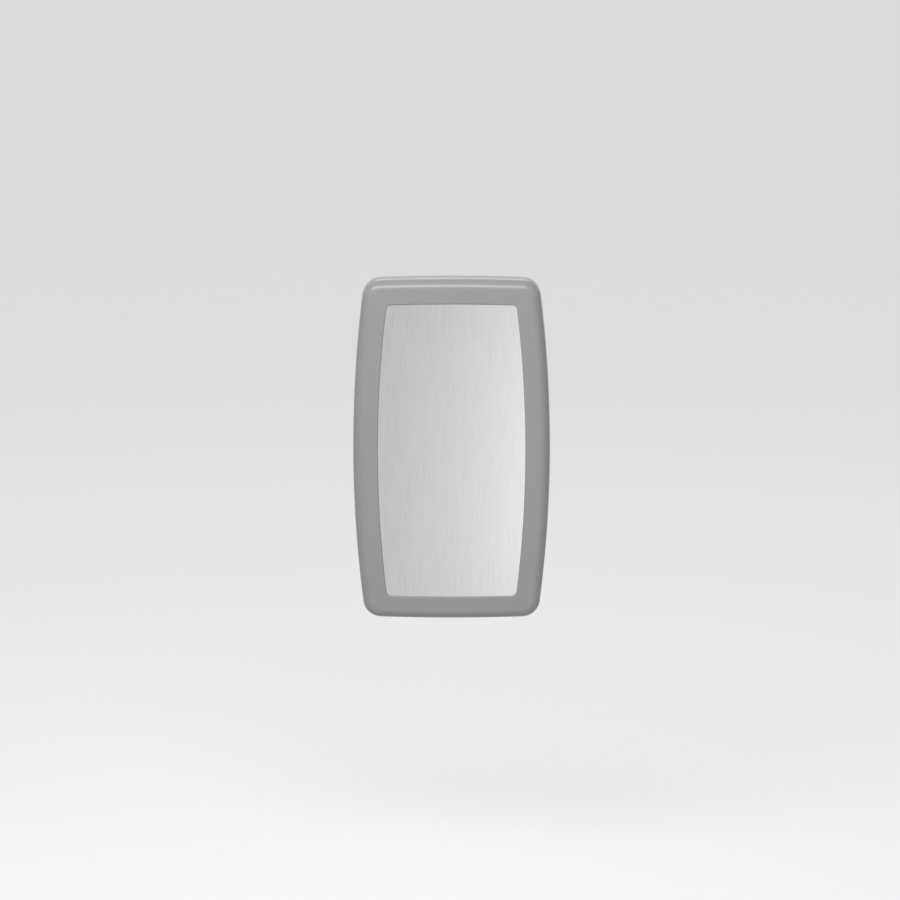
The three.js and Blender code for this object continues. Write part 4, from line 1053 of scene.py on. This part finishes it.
def eased(keys, count=8):
    """Points through (x, height) keys. Each step starts and ends level."""
    points = []
    for (x0, h0), (x1, h1) in zip(keys, keys[1:]):
        shares = [i / count for i in range(count)] if h0 != h1 else [0]
        points += [(x0 + (x1 - x0) * s, h0 + (h1 - h0) * (1 - cos(pi * s)) / 2) for s in shares]
    return points + [keys[-1]]


def dish(x_from, x_to, height, count=36):
    """Points that follow the dish at one height above it."""
    return [(x_from + (x_to - x_from) * i / count, height) for i in range(count)]


def belt(name, line, node):
    """One half of the strap from the line along its middle."""
    bm = bmesh.new()
    spots = [Vector((x, tray_y(x) + height, -BELT / 2)) for x, height in line]
    points = [bm.verts.new(spot) for spot in spots]
    edges = [bm.edges.new(pair) for pair in zip(points, points[1:])]
    along = [0.0]
    for one, two in zip(spots, spots[1:]):
        along.append(along[-1] + (two - one).length)
    for strip in range(BELT_STRIPS):
        edges = push(bm, edges, (0, 0, BELT / BELT_STRIPS))
    length_at = {(round(spot.x, 7), round(spot.y, 7)): far for spot, far in zip(spots, along)}
    weave = bm.loops.layers.uv.new("weave")
    for face in bm.faces:
        for corner in face.loops:
            far = length_at[(round(corner.vert.co.x, 7), round(corner.vert.co.y, 7))]
            corner[weave].uv = (corner.vert.co.z, far)
    piece = place(bm, name, webbing, "bed", [node], thick=BELT_THICK, sharp=SMOOTH_BELT)
    piece.modifiers["wall"].offset = 0
    print(name, "cut length", round(along[-1], 4))
    return piece, along[-1]


turns = [pi * i / BAR_STEPS for i in range(BAR_STEPS + 1)]
loop = [(BAR_X + BAR_TURN * sin(turn), BAR_HIGH - BAR_TURN * cos(turn)) for turn in turns]
left_line = dish(-STRAP_END, LEFT_RISE, ON_TRAY)
left_line += eased([(LEFT_RISE, ON_TRAY), (-0.032, BAR_HIGH - BAR_TURN)]) + loop
left_line += eased([(-0.031, BAR_HIGH + BAR_TURN), (-0.047, ON_BELT), (-0.075, ON_BELT)])
threaded = [(RIGHT_RISE, ON_TRAY), (0.034, OVER_BASE), (-0.0165, OVER_BASE)]
threaded += [(-0.0230, OVER_LOOP), (-0.0330, OVER_LOOP), (-0.0490, ON_BOTH), (-0.0760, ON_BOTH)]
threaded += [(-0.0860, ON_BELT), (-0.1250, ON_BELT)]
right_line = dish(STRAP_END, RIGHT_RISE, ON_TRAY) + eased(threaded)
strap_left, left_length = belt("belt_left", left_line, "strap_left")
strap_right, right_length = belt("belt_right", right_line, "strap_right")

# %% [markdown]
# ## Stitches
# Two rows of thick thread close the hem at the free end, and two more show beside each
# anchor. A stitch is a round bead pulled out along the row.

# %% stitches
STITCHES = 11
STITCH_STEP = 0.0032
BEAD = Matrix.Diagonal((0.00035, 0.00030, 0.00115, 1))
HEM_ROWS = (-0.1185, -0.1225)
LEFT_ROWS = (-0.1950, -0.1990)
RIGHT_ROWS = (0.1950, 0.1990)


def stitch_rows(name, rows, lift):
    """Rows of stitches across the belt, at some places along x."""
    bm = bmesh.new()
    for x in rows:
        for i in range(STITCHES):
            spot = Matrix.Translation((x, tray_y(x) + lift, (i - STITCHES // 2) * STITCH_STEP))
            bmesh.ops.create_uvsphere(bm, u_segments=8, v_segments=6, radius=1, matrix=spot @ BEAD)
    return place(bm, name, thread, "bed", sharp=SMOOTH_BELT)


hem = stitch_rows("hem_stitches", HEM_ROWS, ON_BELT + BELT_THICK / 2)
seam_left = stitch_rows("seam_left", LEFT_ROWS, ON_TRAY + BELT_THICK / 2)
seam_right = stitch_rows("seam_right", RIGHT_ROWS, ON_TRAY + BELT_THICK / 2)

# %% [markdown]
# ## Buckle
# The cam buckle is a black moulding: a base with a bar at its left end, two cheeks, and a
# lever that turns on a pin. The base is filled round the slot beside the bar and thickened.
# The lever is a section with a round hub, pushed to its width, with ribs for the thumb.

# %% buckle
BASE_LOW = -0.0738
BASE_WIDE = 0.062
BASE_HIGH = 0.052
BASE_THICK = 0.003
BASE_EDGE = 0.0007
BUCKLE_ROUND = 0.005
BAR_SLOT_X = -0.0230
BAR_SLOT_WIDE = 0.0056
BAR_SLOT_HIGH = 0.0405
BAR_SLOT_ROUND = 0.0015
CHEEK_HALF = 0.027
CHEEK_FOOT = BASE_LOW + 0.0028
CHEEK_TOP = -0.0628
CHEEK_THICK = 0.006
CHEEK_EDGE = 0.0008

bm = bmesh.new()
base_rim = rounded_rim(bm, BASE_WIDE, BASE_HIGH, BUCKLE_ROUND, (0, BASE_LOW, 0))
slot_rim = rounded_rim(bm, BAR_SLOT_WIDE, BAR_SLOT_HIGH, BAR_SLOT_ROUND, (BAR_SLOT_X, BASE_LOW, 0))
fill(bm, base_rim + slot_rim)
place(
    bm, "buckle_base", black_plastic, "bed", ["buckle_body"],
    faces_to=(0, -1, 0), thick=BASE_THICK, edge=BASE_EDGE,
)

bm = bmesh.new()
for z in (-BASE_HIGH / 2, BASE_HIGH / 2 - CHEEK_THICK):
    verts = block(bm, (-CHEEK_HALF, CHEEK_FOOT, z), (CHEEK_HALF, CHEEK_TOP, z + CHEEK_THICK))
    tops = [vert for vert in verts if abs(vert.co.y - CHEEK_TOP) < TINY]
    rims = once(edge for vert in tops for edge in vert.link_edges if edge.other_vert(vert) in tops)
    ends = [edge for edge in rims if abs(edge.verts[0].co.x - edge.verts[1].co.x) < TINY]
    round_off(bm, ends, BUCKLE_ROUND, 6, "EDGES")
place(bm, "buckle_cheeks", black_plastic, "bed", edge=CHEEK_EDGE)

# %% lever of the buckle
PIN_X = -0.0124
PIN_Y = -0.0658
HUB = 0.0033
LEVER_HALF = 0.0195
LEVER_EDGE = 0.0005
LEVER_LINE = [(PIN_X + 0.007, PIN_Y - 0.0004), (0.0345, -0.0652)]
LEVER_LINE += [(0.0370, -0.0640), (0.0370, -0.0629), (0.0360, -0.0623)]
THUMB_RIBS = 4
THUMB_RIB_X = 0.020
THUMB_RIB_STEP = 0.0042
THUMB_RIB_WIDE = 0.0016
THUMB_RIB_HALF = 0.0160
THUMB_RIB_FOOT = -0.0628
THUMB_RIB_TOP = -0.0614

bm = bmesh.new()
start = bm.verts.new((PIN_X, PIN_Y + HUB, -LEVER_HALF))
pen = draw_arc(bm, start, (PIN_X, PIN_Y, 0), ALONG_Z, pi, 14)
corners = [pen] + [bm.verts.new((x, y, -LEVER_HALF)) for x, y in LEVER_LINE] + [start]
for pair in zip(corners, corners[1:]):
    bm.edges.new(pair)
near = list(bm.edges)
far = push(bm, near, (0, 0, 2 * LEVER_HALF))
close(bm, near)
close(bm, far)
for rib in range(THUMB_RIBS):
    x = THUMB_RIB_X + THUMB_RIB_STEP * rib
    low = (x, THUMB_RIB_FOOT, -THUMB_RIB_HALF)
    block(bm, low, (x + THUMB_RIB_WIDE, THUMB_RIB_TOP, THUMB_RIB_HALF))
place(bm, "cam_lever", black_plastic, "buckle_lever", ["buckle_lever"], edge=LEVER_EDGE)

# %% [markdown]
# ## Solids that are already right
# Brackets, leaves, rails, bolts, bumpers and fittings keep the shape of their solids. Each
# gets its finish, a weld, whole flats in place of their triangles, a small bevel on its
# sharp edges, and smooth shading on its rounds from a short geometry node group. A last weld
# takes out faces that the bevel leaves without area.

# %% solids that are already right
SOLID_EDGE = 0.0003
SOLID_SHARP = 40
SOLID_FLAT = 0.5


def smooth_rounds():
    """Geometry nodes that shade faces smooth and keep sharp edges sharp."""
    group = bpy.data.node_groups.new("smooth_rounds", "GeometryNodeTree")
    group.interface.new_socket("Geometry", in_out="INPUT", socket_type="NodeSocketGeometry")
    group.interface.new_socket("Geometry", in_out="OUTPUT", socket_type="NodeSocketGeometry")
    enter = group.nodes.new("NodeGroupInput")
    leave = group.nodes.new("NodeGroupOutput")
    faces = group.nodes.new("GeometryNodeSetShadeSmooth")
    edges = group.nodes.new("GeometryNodeSetShadeSmooth")
    edges.domain = "EDGE"
    edges.inputs["Shade Smooth"].default_value = False
    angle = group.nodes.new("GeometryNodeInputMeshEdgeAngle")
    above = group.nodes.new("FunctionNodeCompare")
    above.operation = "GREATER_THAN"
    above.inputs[1].default_value = radians(SOLID_SHARP)
    group.links.new(enter.outputs[0], faces.inputs["Geometry"])
    group.links.new(faces.outputs["Geometry"], edges.inputs["Geometry"])
    group.links.new(angle.outputs["Unsigned Angle"], above.inputs[0])
    group.links.new(above.outputs["Result"], edges.inputs["Selection"])
    group.links.new(edges.outputs["Geometry"], leave.inputs[0])
    return group


ROUNDS = smooth_rounds()
finishes = [grey_plastic, brushed_steel, zinc_steel, chrome, black_steel]
finishes += [rubber, black_plastic, nylon, foam, webbing]
by_slot = {material["slot"]: material for material in finishes}
kept = 0
for solid in nodes.values():
    slot_name = solid.material_slots[0].material.name
    solid.material_slots[0].material = by_slot[slot_name]
    if solid.hide_render:
        continue
    solid.modifiers.new("joined", "WELD").merge_threshold = TINY
    planes = solid.modifiers.new("planes", "DECIMATE")
    planes.decimate_type = "DISSOLVE"
    planes.angle_limit = radians(SOLID_FLAT)
    solid.modifiers.new("rounds", "NODES").node_group = ROUNDS
    soften(solid, SOLID_EDGE, SOLID_SHARP, merge=2 * TINY)
    kept += 1
print("solids kept:", kept)

# %% [markdown]
# ## Camera
# The photograph looks at the closed station from straight in front and about 14.5 degrees
# above, from so far away that its sides hardly converge. A very long lens gives that view:
# 900 pixels span 2.36 m at the panel.

# %% camera
LENS = 600
SENSOR = 36
PHOTO_PIXELS = 900
PIXELS_PER_METRE = 381.4
LOOK_DOWN = radians(14.5)
FAR_LIMIT = 150
look_at = Vector((-0.0042, PANEL_FRONT, 0.0009))
away = PHOTO_PIXELS / PIXELS_PER_METRE * LENS / SENSOR
eye = look_at + away * Vector((0, -cos(LOOK_DOWN), sin(LOOK_DOWN)))
lens = bpy.data.cameras.new("camera")
lens.lens = LENS
lens.sensor_width = SENSOR
lens.clip_end = FAR_LIMIT
camera = bpy.data.objects.new("camera", lens)
camera.location = eye
camera.rotation_euler = (look_at - eye).to_track_quat("-Z", "Y").to_euler()
scene.collection.objects.link(camera)
scene.camera = camera
print("camera", round(away, 2), "m away")

# %% [markdown]
# ## Light, floor and background
# Plain studio light: a pale world all round, a wide lamp in front and above for the long
# soft streak on the top edge, a broad weak one low in front, and one high behind for the
# back. A fourth, low on the right, is there for the steel to mirror, so light linking keeps
# it for the steel, and the one low in front for the rest of the station. The floor lies
# 0.76 m under the hinge, the height at which such a station is hung. Sky and floor look
# white to the camera, and give the station itself less light than that.

# %% lamps
scene.view_settings.view_transform = "Standard"


def lamp(name, at, aim, size, watts):
    """A soft panel light that looks from one point to another."""
    light = bpy.data.lights.new(name, "AREA")
    light.shape = "RECTANGLE"
    light.size, light.size_y = size
    light.energy = watts
    stand = bpy.data.objects.new(name, light)
    stand.location = at
    stand.rotation_euler = (Vector(aim) - Vector(at)).to_track_quat("-Z", "Y").to_euler()
    scene.collection.objects.link(stand)
    return stand


lamp("key", at=(-0.6, -2.5, 2.02), aim=(0, -0.1, 0.1), size=(3.4, 0.90), watts=84)
steel_lamp = lamp("low_right", at=(0.84, -2.04, -0.5), aim=(0, -0.1, 0), size=(1.0, 1.2), watts=11)
lamp("back", at=(0, 2.6, 2.6), aim=(0, 0, 0.2), size=(2.4, 1.2), watts=32)
fill_lamp = lamp("fill", at=(0, -2.4, -0.7), aim=(0, -0.1, -0.1), size=(2.6, 1.4), watts=6.5)
print("lamps ready")

# %% background
SKY_GLOW = 0.365
SKY_SEEN = 1.0


def direct_rays(tree):
    """One for what the camera sees, also by way of a mirror or through glass, else nothing."""
    path = tree.nodes.new("ShaderNodeLightPath")
    direct = combine(tree, path.outputs["Is Camera Ray"], path.outputs["Is Glossy Ray"], "MAXIMUM")
    return combine(tree, direct, path.outputs["Is Transmission Ray"], "MAXIMUM")


world = bpy.data.worlds.new("studio")
scene.world = world
world.use_nodes = True
tree = world.node_tree
sky = tree.nodes["Background"]
seen = tree.nodes.new("ShaderNodeBackground")
for glow, strength in ((sky, SKY_GLOW), (seen, SKY_SEEN)):
    glow.inputs["Color"].default_value = (1, 1, 1, 1)
    glow.inputs["Strength"].default_value = strength
choose = tree.nodes.new("ShaderNodeMixShader")
tree.links.new(direct_rays(tree), choose.inputs["Fac"])
tree.links.new(sky.outputs["Background"], choose.inputs[1])
tree.links.new(seen.outputs["Background"], choose.inputs[2])
tree.links.new(choose.outputs["Shader"], tree.nodes["World Output"].inputs["Surface"])
print(world.name, "nodes:", len(tree.nodes))

# %% floor
FLOOR_RADIUS = 14
FLOOR_Z = HINGE.z - 0.76
FLOOR_GLOW = 0.52

bm = bmesh.new()
bmesh.ops.create_circle(bm, cap_ends=True, segments=96, radius=FLOOR_RADIUS)
bmesh.ops.translate(bm, verts=bm.verts, vec=(0, 0, FLOOR_Z))
mesh = bpy.data.meshes.new("floor")
bm.to_mesh(mesh)
bm.free()
floor = bpy.data.objects.new("floor", mesh)
scene.collection.objects.link(floor)
floor_paint, tree, shader = finish("floor_paint", "", (0.5, 0.5, 0.5), 0.8)
shader.inputs["Specular IOR Level"].default_value = 0.0
shader.inputs["Emission Color"].default_value = (1, 1, 1, 1)
glow = spread(tree, direct_rays(tree), 0.0, FLOOR_GLOW, 0.0, 1.0)
tree.links.new(glow, shader.inputs["Emission Strength"])
mesh.materials.append(floor_paint)
print("floor at z =", round(FLOOR_Z, 3))

# %% light linking
for light, state, things in (
    (steel_lamp, "INCLUDE", [steel_panel]),
    (fill_lamp, "EXCLUDE", [steel_panel, floor]),
):
    group = bpy.data.collections.new(light.name + "_lights")
    for thing in things:
        group.objects.link(thing)
    for member in group.collection_objects:
        member.light_linking.link_state = state
    light.light_linking.receiver_collection = group
    print(light.name, state, [thing.name for thing in things])
